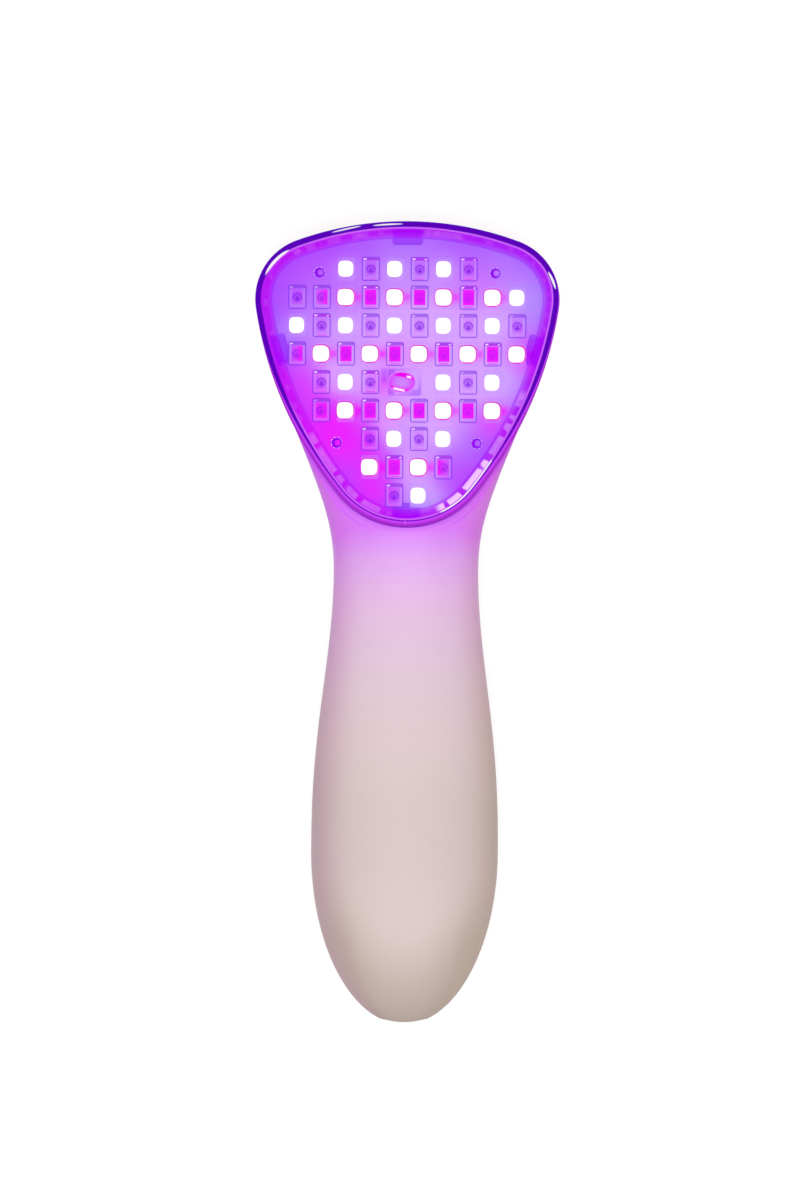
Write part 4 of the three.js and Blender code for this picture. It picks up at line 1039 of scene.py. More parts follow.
@dataclass
class HeadOutline:
    """The rounded triangle of the head: four arcs on each side, each running into the next.

    Attributes:
        corner_x, corner_drop: A corner's centre across, and how far below the crown it lies.
        shrink: How far the outline stays inside its nominal size.
        clip_rise: The rise of the cover's side clips.
    """

    chin_y: float = 20.286
    length: float = 65.0
    corner_x: float = 19.1
    corner_drop: float = 16.7
    corner_radius: float = 13.3
    side_radius: float = 82.0
    chin_radius: float = 19.0
    shrink: float = 0.04
    clip_rise: float = 36.7

    def __post_init__(self) -> None:
        """Finds the arcs' centres, and the bearings at which each arc runs into the next.

        The crown's radius is (r^2 - x^2 - d^2) / (2 d + 2 r), with d minus the corner's drop. The
        side's centre lies at its radius less theirs from the corner's and the chin's.
        """
        drop, radius = -self.corner_drop, self.corner_radius
        corner = np.array([self.corner_x, self.length - self.corner_drop])
        chin = np.array([0.0, self.chin_radius])
        crown_radius = (radius**2 - self.corner_x**2 - drop**2) / (2 * drop + 2 * radius)
        crown = np.array([0.0, self.length - crown_radius])
        to_corner, to_chin = self.side_radius - radius, self.side_radius - self.chin_radius
        span = math.dist(corner, chin)
        along = (to_corner**2 - to_chin**2 + span**2) / (2 * span)
        aside = math.sqrt(to_corner**2 - along**2)
        way = (chin - corner) / span
        self.side = corner + way * along + np.array([way[1], -way[0]]) * aside
        crown_angle = math.atan2(*(corner - crown)[::-1])
        corner_angle = math.atan2(*(corner - self.side)[::-1])
        chin_angle = math.atan2(*(chin - self.side)[::-1])
        self.arcs = [
            (chin, self.chin_radius, -math.pi / 2, chin_angle),
            (self.side, self.side_radius, chin_angle, corner_angle),
            (corner, radius, corner_angle, crown_angle),
            (crown, crown_radius, crown_angle, math.pi / 2),
        ]

    def half(
        self, offset: float, count: int = 180, first: int = 0, start: float | None = None
    ) -> Array:
        """The right half from the chin to the crown.

        An arc's points are centre + (radius + offset)(cos a, sin a), in number as its length.

        Args:
            offset: How far outside the outline the points lie.
            count: How many points the half has, roughly.
            first: The arc to begin with.
            start: The bearing to begin at, or None for that arc's own.

        Returns:
            Rows of X and Y.
        """
        arcs = [list(arc) for arc in self.arcs[first:]]
        arcs[0][2] = arcs[0][2] if start is None else start
        lengths = np.array([radius * abs(end - begin) for _, radius, begin, end in arcs])
        shares = np.maximum(6, np.round(count * lengths / lengths.sum())).astype(int)
        pieces = []
        for (centre, radius, begin, end), share in zip(arcs, shares):
            turn = np.linspace(begin, end, share + 1)[:-1]
            way = np.stack([np.cos(turn), np.sin(turn)], axis=1)
            pieces.append(centre + (radius + offset - self.shrink) * way)
        top = np.array([[0.0, self.length + offset - self.shrink]])
        return np.concatenate([*pieces, top]) + np.array([0, self.chin_y])

    def ring(self, offset: float, count: int = 180) -> Array:
        """The whole outline, anticlockwise from the chin; the left half mirrors the right."""
        right = self.half(offset, count)
        return np.concatenate([right, right[-2:0:-1] * np.array([-1, 1])])

    def distance(self, points: Array) -> Array:
        """How far each point lies outside the outline, negative inside.

        It is the distance to a fine ring's nearest point, signed by that point's normal.

        Args:
            points: Rows that start with X and Y.

        Returns:
            One distance for each row.
        """
        ring = self.ring(self.shrink, 420)
        along = np.roll(ring, -1, axis=0) - np.roll(ring, 1, axis=0)
        normal = np.stack([along[:, 1], -along[:, 0]], axis=1)
        gap2 = ((points[:, None, :2] - ring[None, :, :]) ** 2).sum(axis=2)
        nearest = gap2.argmin(axis=1)
        side = ((points[:, :2] - ring[nearest]) * normal[nearest]).sum(axis=1)
        return np.sqrt(gap2[np.arange(len(points)), nearest]) * np.sign(side)

    def clip_spots(self) -> list[Triple]:
        """The places of the cover's four clips, as X, Y and the heading inwards."""
        rise = self.clip_rise - self.side[1]
        angle = math.asin(rise / self.side_radius)
        x, y = self.side[0] + math.sqrt(self.side_radius**2 - rise**2), self.chin_y + self.clip_rise
        return [
            (0.0, self.chin_y + self.length, -math.pi / 2), (0.0, self.chin_y, math.pi / 2),
            (x, y, angle + math.pi), (-x, y, -angle),
        ]

    def at_clip(self, spot: Triple, ring: Array) -> Array:
        """A ring drawn round a clip's own place, its X inwards, as it lies in the head."""
        x, y, heading = spot
        cosine, sine = math.cos(heading), math.sin(heading)
        return ring @ np.array([[cosine, sine], [-sine, cosine]]) + np.array([x, y])

    def near_clip(self, points: Array, full: float, gone: float) -> Array:
        """One within a distance of a clip's place, falling to zero at a larger one."""
        gaps = [np.hypot(points[:, 0] - x, points[:, 1] - y) for x, y, _ in self.clip_spots()]
        return smooth(-np.min(gaps, axis=0), -gone, -full)


class Half(Enum):
    """The two mouldings of the housing."""

    REAR = "rear_housing"
    FRONT = "front_housing"


@dataclass
class Housing:
    """The two-part moulded housing: a long egg-shaped grip, a waisted neck and a bowl.

    Attributes:
        grip_y, neck_y: The grip's widest and the neck's narrowest place.
        grip_reach: From the grip's widest place to the tip.
        hub_y: The place in the head that its upper sections fan out from.
        shoulder_rise, head_rise: Where the head's own sides and its own levels are reached.
        overhang: How far the cover stands out past the housing.
        back, mid, grip_front: The grip's levels, its back before it is flattened.
        wall, head_wall, ledge_wall: How thick it is, in the head, and at most in the ledge.
        seam_low, seam_high: Where the rear moulding ends and the front one begins.
        seat: The level of the ledge that the cover's seal lies on.
        ledge: How far the ledge reaches in from the outline.
        round_power: The power that rounds the sections.
    """

    outline: HeadOutline
    grip_y: float = -48.814
    grip_half: float = 19.9
    grip_reach: float = 36.9
    neck_y: float = 10.886
    neck_half: float = 15.4
    hub_y: float = 68.586
    shoulder_rise: float = 27.0
    head_rise: float = 33.0
    overhang: float = 0.3
    back: float = -0.8
    neck_back: float = 3.2
    mid: float = 16.0
    grip_front: float = 31.4
    neck_front: float = 26.4
    wall: float = 1.7
    head_wall: float = 1.2
    ledge_wall: float = 1.4
    seam_low: float = 16.0
    seam_high: float = 16.2
    seat: float = 20.0
    pocket_gap: float = 0.25
    ledge: float = 6.0
    round_power: float = 0.9
    button_y: float = 11.886
    pipe_y: float = 22.886
    port_straight: float = 2.84
    port_radius: float = 1.98

    def eased(self, share: Array) -> Array:
        """(1 - cos(pi s)) / 2 of a share s held to 0 and 1."""
        return (1 - np.cos(np.pi * np.clip(share, 0, 1))) / 2

    def taper(self, y: Array) -> Array:
        """How far the grip has narrowed to the neck: the eased share of the way to the 1.2."""
        return self.eased(np.clip((y - self.grip_y) / (self.neck_y - self.grip_y), 0, 1) ** 1.2)

    def side_line(self) -> Array:
        """The right half of the housing's outline from the tip to the crown.

        An ellipse quarter (w sin a, y - l cos a) makes the tip, the taper the grip, a cubic
        Bezier curve the shoulder, and the head's arcs, set in by the overhang, the head. The
        points lie closest just above the chin, where the pocket opens.
        """
        turn = np.linspace(0, np.pi / 2, 70)[:-1]
        tip_y = self.grip_y - self.grip_reach * np.cos(turn)
        tip = np.stack([self.grip_half * np.sin(turn), tip_y], axis=1)
        y = np.linspace(self.grip_y, self.neck_y, 80)[:-1]
        narrowing = (self.neck_half - self.grip_half) * self.taper(y)
        grip = np.stack([self.grip_half + narrowing, y], axis=1)
        angle = math.asin((self.shoulder_rise - self.outline.side[1]) / self.outline.side_radius)
        head = self.outline.half(-self.overhang, 150, 1, angle)
        waist, shoulder = np.array([self.neck_half, self.neck_y]), head[0]
        span = math.dist(waist, shoulder)
        low = waist + np.array([0, 0.27 * span])
        high = shoulder + 0.57 * span * np.array([math.sin(angle), -math.cos(angle)])
        s = np.linspace(0, 1, 900)[:-1, None]
        curve = (1 - s) ** 3 * waist + 3 * s * (1 - s) ** 2 * low
        curve = curve + 3 * s**2 * (1 - s) * high + s**3 * shoulder
        foot = self.outline.chin_y - self.pocket_gap
        rows = np.concatenate([
            np.linspace(self.neck_y, foot, 12)[:-1],
            foot + (shoulder[1] - foot) * np.linspace(0, 1, 56)[:-1] ** 2,
        ])
        neck = np.stack([np.interp(rows, curve[:, 1], curve[:, 0]), rows], axis=1)
        return np.concatenate([tip, grip, neck, head])

    def levels(self, y: Array) -> tuple[Array, Array, Array]:
        """The levels of the back, the widest place and the front along the housing's middle.

        Args:
            y: Places along the device.

        Returns:
            The three levels at each place.
        """
        past = np.clip(self.grip_y - y, 0, None) / self.grip_reach
        swell = np.sqrt(np.clip(1 - past**2, 0, 1))
        taper = self.taper(y)
        rise = self.eased((y - self.neck_y) / (self.outline.chin_y + self.head_rise - self.neck_y))
        raised = np.where(y < self.neck_y, taper, 1 - rise)
        back = self.back + (self.neck_back - self.back) * raised
        front = self.grip_front + (self.neck_front - self.grip_front) * taper
        mid = self.mid + (self.seat - self.mid) * rise
        back = np.where(y < self.grip_y, self.mid + (self.back - self.mid) * swell, back)
        front = np.where(y < self.grip_y, self.mid + (self.grip_front - self.mid) * swell, front)
        return back, mid, front

    def crossing(self, line: Array, offset: float) -> Array:
        """The share of the way out at which each section crosses the grown head outline.

        Below the hub it is the outline's half width over the section's own, and above the hub
        the outline's distance from the hub on the section's bearing over the section's own.

        Args:
            line: The housing's outline.
            offset: How far the head's outline is grown.

        Returns:
            One share for each point of the line, at least zero.
        """
        half = self.outline.half(offset + self.outline.shrink, 700)
        low = half[: half[:, 0].argmax() + 1]
        width = np.interp(line[:, 1], low[:, 1], low[:, 0], left=0.0)
        across = width / np.maximum(line[:, 0], 1e-6)
        away, own = (rows - np.array([0, self.hub_y]) for rows in (half, line))
        bearing, wanted = (np.arctan2(rows[:, 1], rows[:, 0]) for rows in (away, own))
        far = np.interp(wanted, bearing, np.hypot(away[:, 0], away[:, 1]))
        fan = far / np.maximum(np.hypot(own[:, 0], own[:, 1]), 1e-6)
        return np.clip(np.where(line[:, 1] > self.hub_y, fan, across), 0, None)

    def section(self, line: Array, angle: Array) -> Array:
        """Points of the rounded form, for each outline point p and each angle t of its section.

        It lies cos(t)^0.9 of the way from the hub to p, sin(t)^0.9 of the depth off the middle.

        Args:
            line: The housing's outline.
            angle: A row of angles for each of its points.

        Returns:
            Points in rows and columns.
        """
        hub = np.minimum(line[:, 1], self.hub_y)
        back, mid, front = (level[:, None] for level in self.levels(hub))
        out = np.clip(np.cos(angle), 0, None) ** self.round_power
        depth = np.where(angle < 0, mid - back, front - mid)
        z = mid + np.sign(angle) * np.abs(np.sin(angle)) ** self.round_power * depth
        y = hub[:, None] + (line[:, 1] - hub)[:, None] * out
        return np.stack([line[:, :1] * out, y, z], axis=2)

    def angle_at(self, line: Array, level: float) -> Array:
        """Each section's angle at a level: asin of the share of the depth, to the power 1/0.9.

        Args:
            line: The housing's outline.
            level: The level.

        Returns:
            One angle for each point of the line.
        """
        back, mid, front = self.levels(np.minimum(line[:, 1], self.hub_y))
        gap = level - mid
        depth = np.where(gap < 0, mid - back, front - mid)
        share = np.clip(np.abs(gap) / np.maximum(depth, 1e-6), 0, 1)
        return np.sign(gap) * np.arcsin(share ** (1 / self.round_power))

    def front_side(self, line: Array, shares: Array) -> tuple[Array, Array]:
        """The right side of the front moulding's skin, with the pocket for the cover.

        The wall thins towards the pocket's edge.

        Args:
            line: The housing's outline.
            shares: Shares of the way round each section.

        Returns:
            Its points in rows and columns, and the wall's depth at each.
        """
        foot = self.outline.chin_y - self.pocket_gap
        start = self.angle_at(line, self.seam_high)
        pocket = np.clip(self.crossing(line, self.pocket_gap), 0, 1)
        at_wall = np.arccos(pocket ** (1 / self.round_power))
        at_seat = np.maximum(self.angle_at(line, self.seat), at_wall)
        end = np.where(line[:, 1] > foot, at_seat, np.pi / 2)
        skin = self.section(line, start[:, None] + (end - start)[:, None] * shares)
        points = np.concatenate([skin, self.pocket(line, skin[:, -1])], axis=1)
        ridge = line[:, 0] * (1 - pocket)
        thin = np.where(line[:, 1] > foot, 0.42 * ridge, self.wall)
        near = np.clip((points[:, :, 2] - self.seat + 2.2) / 2.0, 0, 1)
        depth = self.wall + (np.clip(thin, 0.06, self.wall)[:, None] - self.wall) * near
        depth[line[:, 1] > self.outline.chin_y + self.shoulder_rise] = self.head_wall
        ledge = slice(skin.shape[1] + 3, None)
        depth[:, ledge] = np.minimum(depth[:, ledge], self.ledge_wall)
        return points, depth

    def pocket(self, line: Array, edge: Array) -> Array:
        """The pocket's wall down to the seat, and the ledge inwards, as more columns.

        Args:
            line: The housing's outline.
            edge: The last point of each section.

        Returns:
            Three columns down the wall and four across the ledge.
        """
        inner = np.clip(self.crossing(line, -self.ledge), 0, 1)
        hub = np.minimum(line[:, 1], self.hub_y)
        under = line[:, 1] > self.outline.chin_y - self.pocket_gap
        floor = np.where(under, np.minimum(edge[:, 2], self.seat), edge[:, 2])
        inner_x = np.where(under, np.minimum(line[:, 0] * inner, edge[:, 0]), edge[:, 0])
        inner_y = np.where(under, hub + (line[:, 1] - hub) * inner, edge[:, 1])
        foot = np.stack([edge[:, 0], edge[:, 1], floor], axis=1)
        inside = np.stack([inner_x, inner_y, floor], axis=1)
        down, across = (np.linspace(0, 1, steps)[1:, None] for steps in (4, 5))
        wall = edge[:, None] + (foot - edge)[:, None] * down
        return np.concatenate([wall, foot[:, None] + (inside - foot)[:, None] * across], axis=1)

    def skin(self, half: Half) -> Patch:
        """The outer surface of one moulding, open, with its faces outwards.

        The back is pressed flat on the floor: z becomes (z + sqrt(z^2 + 0.09)) / 2.

        Args:
            half: Which moulding.

        Returns:
            The surface, whose points carry the depth of the wall.
        """
        line, shares = self.side_line(), np.linspace(0, 1, 46)
        if half is Half.FRONT:
            points, depth = self.front_side(line, shares)
        else:
            start = self.angle_at(line, self.seam_low)
            points = self.section(line, start[:, None] + (-np.pi / 2 - start)[:, None] * shares)
            points[:, :, 2] = 0.5 * (points[:, :, 2] + np.sqrt(points[:, :, 2] ** 2 + 0.09))
            depth = np.full(points.shape[:2], self.wall)
        right = grid(points, {"depth": depth})
        left = replace(right, points=right.points * MIRROR, quads=right.quads[:, ::-1])
        both = together([right, left])
        return both if half is Half.REAR else both.turned()

    def tools(self, half: Half) -> list[Patch]:
        """What is cut out of one moulding.

        Both have the charging port, a slot that flares at its mouth. The back alone has the
        button's land and opening, and the hole of the light pipe.

        Args:
            half: Which moulding.

        Returns:
            The closed surfaces.
        """
        half_slot, end, flare = self.port_straight, self.port_radius, 4.2
        rows = [
            (0, 0, -95), (half_slot, end + flare, -95), (half_slot, end, -83.6),
            (half_slot, end, -78), (0, 0, -78),
        ]
        rings = np.stack([slot_ring(*row, self.mid, 48) for row in rows])
        port = grid(rings, wrap=True).facing_out()
        if half is Half.FRONT:
            return [port]
        land = [(0, -4), (8.6, -4), (8.6, 2.9), (7.5, 3.9), (6.05, 3.9), (6.05, 9), (0, 9)]
        hole = [(0, -4), (1.35, -4), (1.35, 12), (0, 12)]
        return [
            port, turned_form(land, 96, 0, self.button_y), turned_form(hole, 40, 0, self.pipe_y)
        ]

    def marks(self, points: Array) -> Values:
        """What the housing's points carry for its finish.

        The glow rises towards the chin and the flanks, and falls off below the window.

        Args:
            points: Rows of X, Y and Z.

        Returns:
            The carried values glow, cover_distance, side and tip; the last three place painted shade.
        """
        x, y, z = points.T
        edge = smooth(np.abs(x), 11.0, 17.0) * smooth(y, -30.0, 0.0)
        along = np.clip(np.clip((y + 62) / (20 + 62), 0, 1) + 0.03 * edge, 0, 1)
        # Below a level of 15, cover_distance is held at 3 at least, so the painted violet shade stays
        # beside the cover.
        below = 3 * smooth(-z, -19.0, -15.0)
        line = self.side_line()
        side = x / np.interp(y, line[:, 1], np.maximum(line[:, 0], 3))
        # tip: painted shade darkening the grip's end, outwards from its widest place, weaker on the
        # flanks.
        past = self.grip_y - y
        reach = np.hypot(x / self.grip_half, np.maximum(past, 0) / self.grip_reach)
        tip = smooth(reach, 0.45, 0.90) * smooth(past, 2, 20)
        return {
            "glow": along * smooth(z, 0.0, 20.0) ** 0.5,
            "cover_distance": np.maximum(self.outline.distance(points), below),
            "side": side,
            "tip": tip * (1 - 0.6 * smooth(np.abs(side), 0.7, 1.0)),
        }

    def build(self) -> list[Piece]:
        """Builds and dresses both mouldings."""
        made = []
        for half, node in ((Half.REAR, "rear_shell"), (Half.FRONT, "front_shell")):
            finish = HousingPlastic(half.value + "_plastic")
            piece = placed(half.value, thickened(self.skin(half), "depth"), [finish])
            for tool in self.tools(half):
                cut_away(piece, tool)
            carried(piece.data, self.marks(mesh_points(piece.data)))
            made.append(stands_for(piece, node))
        return made


class State(Enum):
    """What an emitter does in the photographed moment."""

    DARK = "d"
    BLUE = "b"
    RED = "r"


@dataclass(frozen=True)
class Pool:
    """A soft pool of light on the board."""

    x: float
    rise: float
    spread: float
    strength: float


RED_POOLS = (
    Pool(-17, 22, 7.5, 0.85), Pool(-9, 17, 6, 0.55), Pool(-7, 7.5, 5, 0.75),
    Pool(-23, 31, 5, 0.45), Pool(18, 22, 3.4, 0.5), Pool(26, 36.5, 3.8, 0.62),
    Pool(-2.5, 37, 3.4, 0.3), Pool(-4.8, 30.5, 2.8, 0.6), Pool(-17, 15, 6, 0.3),
    Pool(15.5, 52, 5, 0.2), Pool(11, 10, 6, 0.16), Pool(-20, 54, 8, 0.1),
)
PALE_POOLS = (
    Pool(2, 40, 15, 1.25), Pool(21, 46, 8, 0.6), Pool(19, 31, 7.5, 0.8),
    Pool(5, 24, 8, 0.85), Pool(1.5, 12, 4.8, 1), Pool(-17, 36, 6, 0.45),
    Pool(-10, 30, 6, 0.4), Pool(4.5, 5, 4, 0.9), Pool(-18, 45, 7, 0.25),
    Pool(-15.5, 31, 3.2, 0.6), Pool(-5, 22, 3.6, 0.5),
)
BLUE_POOLS = (
    Pool(27, 48, 6, 0.7), Pool(20, 57, 6, 0.35), Pool(3.5, 3.5, 5.5, 0.75),
    Pool(-26.5, 40, 4, 0.45), Pool(0, 59, 8, 0.3), Pool(12, 16, 4, 0.15),
    Pool(21, 31, 5, 0.3), Pool(-20, 49, 6, 0.2),
)


@dataclass
class LightBoard:
    """The board with its nine rows of emitters and the sensor's package.

    Attributes:
        rows: Each emitter's state from left to right, the top row first; a dot is the sensor.
        margin: How far the board's edge lies inside the outline.
        bottom, top: The levels of its two sides.
        half_width, half_length, height: The sizes of an emitter.
        notch_half, notch_depth: Half the notches' width, and their reach from the outline.
        pin_spots: The places of the right pins, as X and rise.
    """

    outline: HeadOutline
    rows: tuple[str, ...] = (
        "bdbdbd",
        "ddrdrdrdrb",
        "bdbdbdbdbd",
        "drdrdrdrdr",
        "dbd..bdb",
        "drdrdrdr",
        "dbdb",
        "rdrd",
        "db",
    )
    pitch: float = 5.2
    row_pitch: float = 6.02
    top_rise: float = 54.8
    margin: float = 3.6
    bottom: float = 22.5
    top: float = 23.7
    half_width: float = 1.9
    half_length: float = 2.55
    height: float = 1.5
    notch_half: float = 3.3
    notch_depth: float = 5.1
    pin_spots: tuple[Pair, ...] = ((18.7, 54.0), (14.9, 17.8))
    pin_hole: float = 1.22
    sensor_x: float = -0.5
    sensor_rise: float = 30.72

    def spots(self, state: State) -> Array:
        """The places of the emitters in a state, as rows of X and Y."""
        top = self.outline.chin_y + self.top_rise
        return np.array([
            ((i - (len(row) - 1) / 2) * self.pitch, top - number * self.row_pitch)
            for number, row in enumerate(self.rows)
            for i, letter in enumerate(row)
            if letter == state.value
        ])

    def pins(self) -> list[Pair]:
        """The places of the four pins."""
        chin = self.outline.chin_y
        return [(side * x, chin + rise) for x, rise in self.pin_spots for side in (-1, 1)]

    def halo(self, points: Array, state: State, spread: float, lean: float) -> Array:
        """The halos of the emitters in a state.

        It is the sum of exp(-(distance / spread)^2), where Y counts 1.25 times.

        Args:
            points: Rows that start with X and Y.
            state: Which emitters.
            spread: How far a halo spreads.
            lean: How far to the right of its emitter it lies.

        Returns:
            The light at each point.
        """
        total = np.zeros(len(points))
        for x, y in self.spots(state):
            gap2 = (points[:, 0] - x - lean) ** 2 + ((points[:, 1] - y) * 1.25) ** 2
            total += np.exp(-gap2 / spread**2)
        return total

    def pooled(self, points: Array, pools: tuple[Pool, ...]) -> Array:
        """The sum of strength x exp(-(distance / spread)^2) over pools, at each point."""
        total = np.zeros(len(points))
        for pool in pools:
            y = self.outline.chin_y + pool.rise
            gap2 = (points[:, 0] - pool.x) ** 2 + (points[:, 1] - y) ** 2
            total += pool.strength * np.exp(-gap2 / pool.spread**2)
        return total

    def light(self, points: Array) -> Values:
        """The light on each point under the cover.

        The blue emitters' light veils the red halos.

        Args:
            points: Rows that start with X and Y.

        Returns:
            The carried values red_light, pale_light and blue_light.
        """
        veil = 1 - 0.55 * np.clip(self.halo(points, State.BLUE, 3.2, 0.0), 0, 1)
        wide, beside = ((3.2, 0.6), (1.25, 2.45))
        red = 0.16 * self.halo(points, State.RED, *wide)
        red += 0.7 * self.halo(points, State.RED, *beside) + self.pooled(points, RED_POOLS)
        pale = 0.35 * self.halo(points, State.BLUE, 3.0, 0.0) + self.pooled(points, PALE_POOLS)
        return {
            "red_light": np.clip(red * veil, 0, 1),
            "pale_light": np.clip(pale, 0, 1),
            "blue_light": np.clip(self.pooled(points, BLUE_POOLS), 0, 1) * 0.9,
        }

    def lit_by(self, piece: Piece, dark: Array | None = None) -> None:
        """Puts the light's values, and how dark each point lies, into a piece's mesh."""
        points = mesh_points(piece.data)
        shade = np.zeros(len(points)) if dark is None else dark
        carried(piece.data, self.light(points) | {"dark": shade})

    def sheet(self) -> Patch:
        """The board: rows up the head, each from side to side as u times the half width."""
        half = self.outline.half(-self.margin, 700)
        up = (1 - np.cos(np.linspace(0, np.pi, 150))) / 2
        y = half[0, 1] + (half[-1, 1] - half[0, 1]) * up
        width = np.interp(y, half[:, 1], half[:, 0])
        width[[0, -1]] = 0
        x = width[:, None] * np.sin(np.linspace(-np.pi / 2, np.pi / 2, 121))
        along = np.repeat(y[:, None], x.shape[1], axis=1)
        top, under = (np.dstack([x, along, x * 0 + level]) for level in (self.top, self.bottom))
        return grid(np.concatenate([top, under[:, ::-1]], axis=1), wrap=True)

    def cuts(self) -> list[Patch]:
        """The blocks that cut the four notches, and the pegs that cut the pins' four holes."""
        low, high = self.bottom - 1, self.top + 1
        own = rounded_ring(self.notch_depth, self.notch_half, 14, 24)
        rings = [self.outline.at_clip(spot, own) for spot in self.outline.clip_spots()]
        blocks = [stacked([ring, ring], [low, high]).facing_out() for ring in rings]
        peg = [(0, low), (self.pin_hole, low), (self.pin_hole, high), (0, high)]
        return [together(blocks), together([turned_form(peg, 32, x, y) for x, y in self.pins()])]

    def board(self) -> Piece:
        """Builds the board, with painted shade on the walls of its cuts and a soft darker patch left of
        the sensor.
        """
        piece = placed("emitter_board", self.sheet(), [LitBoard("lit_lacquer")])
        for tool in self.cuts():
            cut_away(piece, tool)
        points = mesh_points(piece.data)
        # Painted shade on the faces below the top: deep on the walls of the notches and pin holes,
        # light at the board's outer edge.
        below = smooth(-points[:, 2], -self.top + 0.05, -self.top + 0.4)
        at_edge = self.outline.distance(points) > -self.margin - 0.3
        patch_x, patch_y = -4.7, self.outline.chin_y + self.sensor_rise + 1.3
        x, y = np.abs(points[:, 0] - patch_x), np.abs(points[:, 1] - patch_y)
        patch = smooth(-x, -1.0, -0.5) * smooth(-y, -1.9, -1.2)
        on_top = points[:, 2] > self.top - 0.1
        self.lit_by(piece, np.maximum(below * np.where(at_edge, 0.15, 0.65), 0.45 * patch * on_top))
        return piece

    def red_sides(self, x: float, y: float) -> Array:
        """How much red light comes into an emitter from its left and from its right."""
        away = self.spots(State.RED) - np.array([x, y])
        gaps = [np.hypot(away[:, 0] - side, away[:, 1]).min() for side in (-self.pitch, self.pitch)]
        return np.array([*(0.85 * (gap < 0.5) for gap in gaps), 0.0])

    def package(self, x: float, y: float, own: float) -> Patch:
        """One unlit emitter: a block with sloping ends, a window, a round well and a chip.

        Args:
            x, y: Its place.
            own: The package's own random share.

        Returns:
            The closed surface.
        """
        w, l, h = self.half_width, self.half_length, self.height
        rows = [
            (w, l, 12, 0), (w, l - 0.06, 12, h - 0.5), (w - 0.14, l - 0.5, 12, h),
            (w - 0.42, l - 0.8, 12, h), (w - 0.50, l - 0.88, 12, h - 0.14),
            (1.2, 1.2, 2, h - 0.14), (1.05, 1.05, 2, h - 0.4),
            (0.42, 0.42, 4, h - 0.4), (0.36, 0.36, 4, h - 0.28),
        ]
        sides = [rounded_ring(*row[:3], 32) for row in rows]
        block = stacked(sides, [row[3] for row in rows])
        px, py, pz = block.points.T
        spot = np.stack([px / w, py / l, pz * 0 + own], axis=1)
        block.values = {"spot": spot, "red_sides": spot * 0 + self.red_sides(x, y)}
        return block.facing_out().moved(x, y, self.top)

    def lamp(self, x: float, y: float, own: float, thick: float) -> Patch:
        """One lit emitter: its package, a coloured rim and the white-hot middle.

        Args:
            x, y: Its place.
            own: The package's own random share.
            thick: The width of the coloured rim.

        Returns:
            The closed surface, with the package as material 0, the rim as 1, the middle as 2.
        """
        w, l, h = self.half_width, self.half_length, self.height
        wide, long = (1.58, 1.68) if thick < 0.1 else (1.72, 1.70)
        blob = rounded_ring(wide, long, 3.6, 32)
        right = blob[:, 0] > 0
        blob[right] = rounded_ring(wide, long, 2.9, 32)[right]
        blob = blob - np.array([0.14, 0])
        edge = blob * (1 + thick / 1.7) + np.array([thick * 0.5, -thick * 0.1])
        sides = [rounded_ring(w - a, l - b, 12, 32) for a, b in ((0, 0), (0, 0.06), (0.02, 0.5))]
        levels = [0, h - 0.5, h - 0.04, h, h + 0.04, h + 0.12, h + 0.16]
        block = stacked([*sides, edge, blob, blob * 0.8, blob * 0.4], levels)
        nothing = np.zeros_like(block.points)
        block.values = {
            "spot": nothing + np.array([0.75, 0.0, own]),
            "red_sides": nothing,
        }
        block.paint = np.repeat([0, 0, 0, 0, 1, 2, 2, 2], len(blob))
        return block.facing_out().moved(x, y, self.top)

    def emitters(self) -> list[Piece]:
        """Builds the unlit emitters and the lit ones of both colours."""
        chance = np.random.default_rng(7)
        package = EmitterPackage("emitter_package")
        hot = Glow("white_hot", (255, 255, 255))
        made = []
        for state, name, rim, thick in (
            (State.DARK, "emitters_dark", None, 0.0),
            (State.BLUE, "emitters_lit_blue", (206, 160, 255), 0.06),
            (State.RED, "emitters_lit_red", (202, 0, 188), 0.28),
        ):
            spots = self.spots(state)
            own = chance.random(len(spots))
            if rim is None:
                blocks = [self.package(x, y, share) for (x, y), share in zip(spots, own)]
                finishes = [package]
            else:
                blocks = [self.lamp(x, y, share, thick) for (x, y), share in zip(spots, own)]
                finishes = [package, Glow(name + "_rim", rim), hot]
            made.append(placed(name, together(blocks), finishes, 40))
            self.lit_by(made[-1])
        return made

    def sensor(self) -> Piece:
        """Builds the sensor's package: a low block with a stepped frame and dark corners."""
        middle_y = self.outline.chin_y + self.sensor_rise
        base = rounded_ring(3.5, 2.85, 14, 72)
        sizes = (1, 1, 0.97, 0.93, 0.88, 0.85, 0.75, 0.65, 0.55)
        levels = [0, 1.05, 1.2, 1.2, 1.2, 1.05, 1.05, 1.05, 1.05]
        block = stacked([base * size for size in sizes], levels).facing_out()
        block = block.moved(self.sensor_x, middle_y, self.top)
        piece = placed("sensor_package", block, [LitBoard("sensor_mould")])
        points = mesh_points(piece.data)
        x, y = points[:, 0] - self.sensor_x, points[:, 1] - middle_y
        patches = [
            smooth(-x, 1.6, 2.3) * smooth(y, -0.1, 0.5),
            0.8 * smooth(-x, 1.9, 2.5) * smooth(-y, 1.2, 1.6),
            0.9 * smooth(x, 1.2, 1.8) * smooth(-y, 1.3, 1.7),
            0.7 * smooth(x, 2.5, 2.8) * smooth(-np.abs(y), -1.5, -1.1),
        ]
        self.lit_by(piece, 0.05 + 0.5 * np.max(patches, axis=0))
        return piece

    def build(self) -> list[Piece]:
        """Builds the board and all that is soldered to it."""
        made = [self.board(), *self.emitters(), self.sensor()]
        return [stands_for(piece, "led_board") for piece in made]


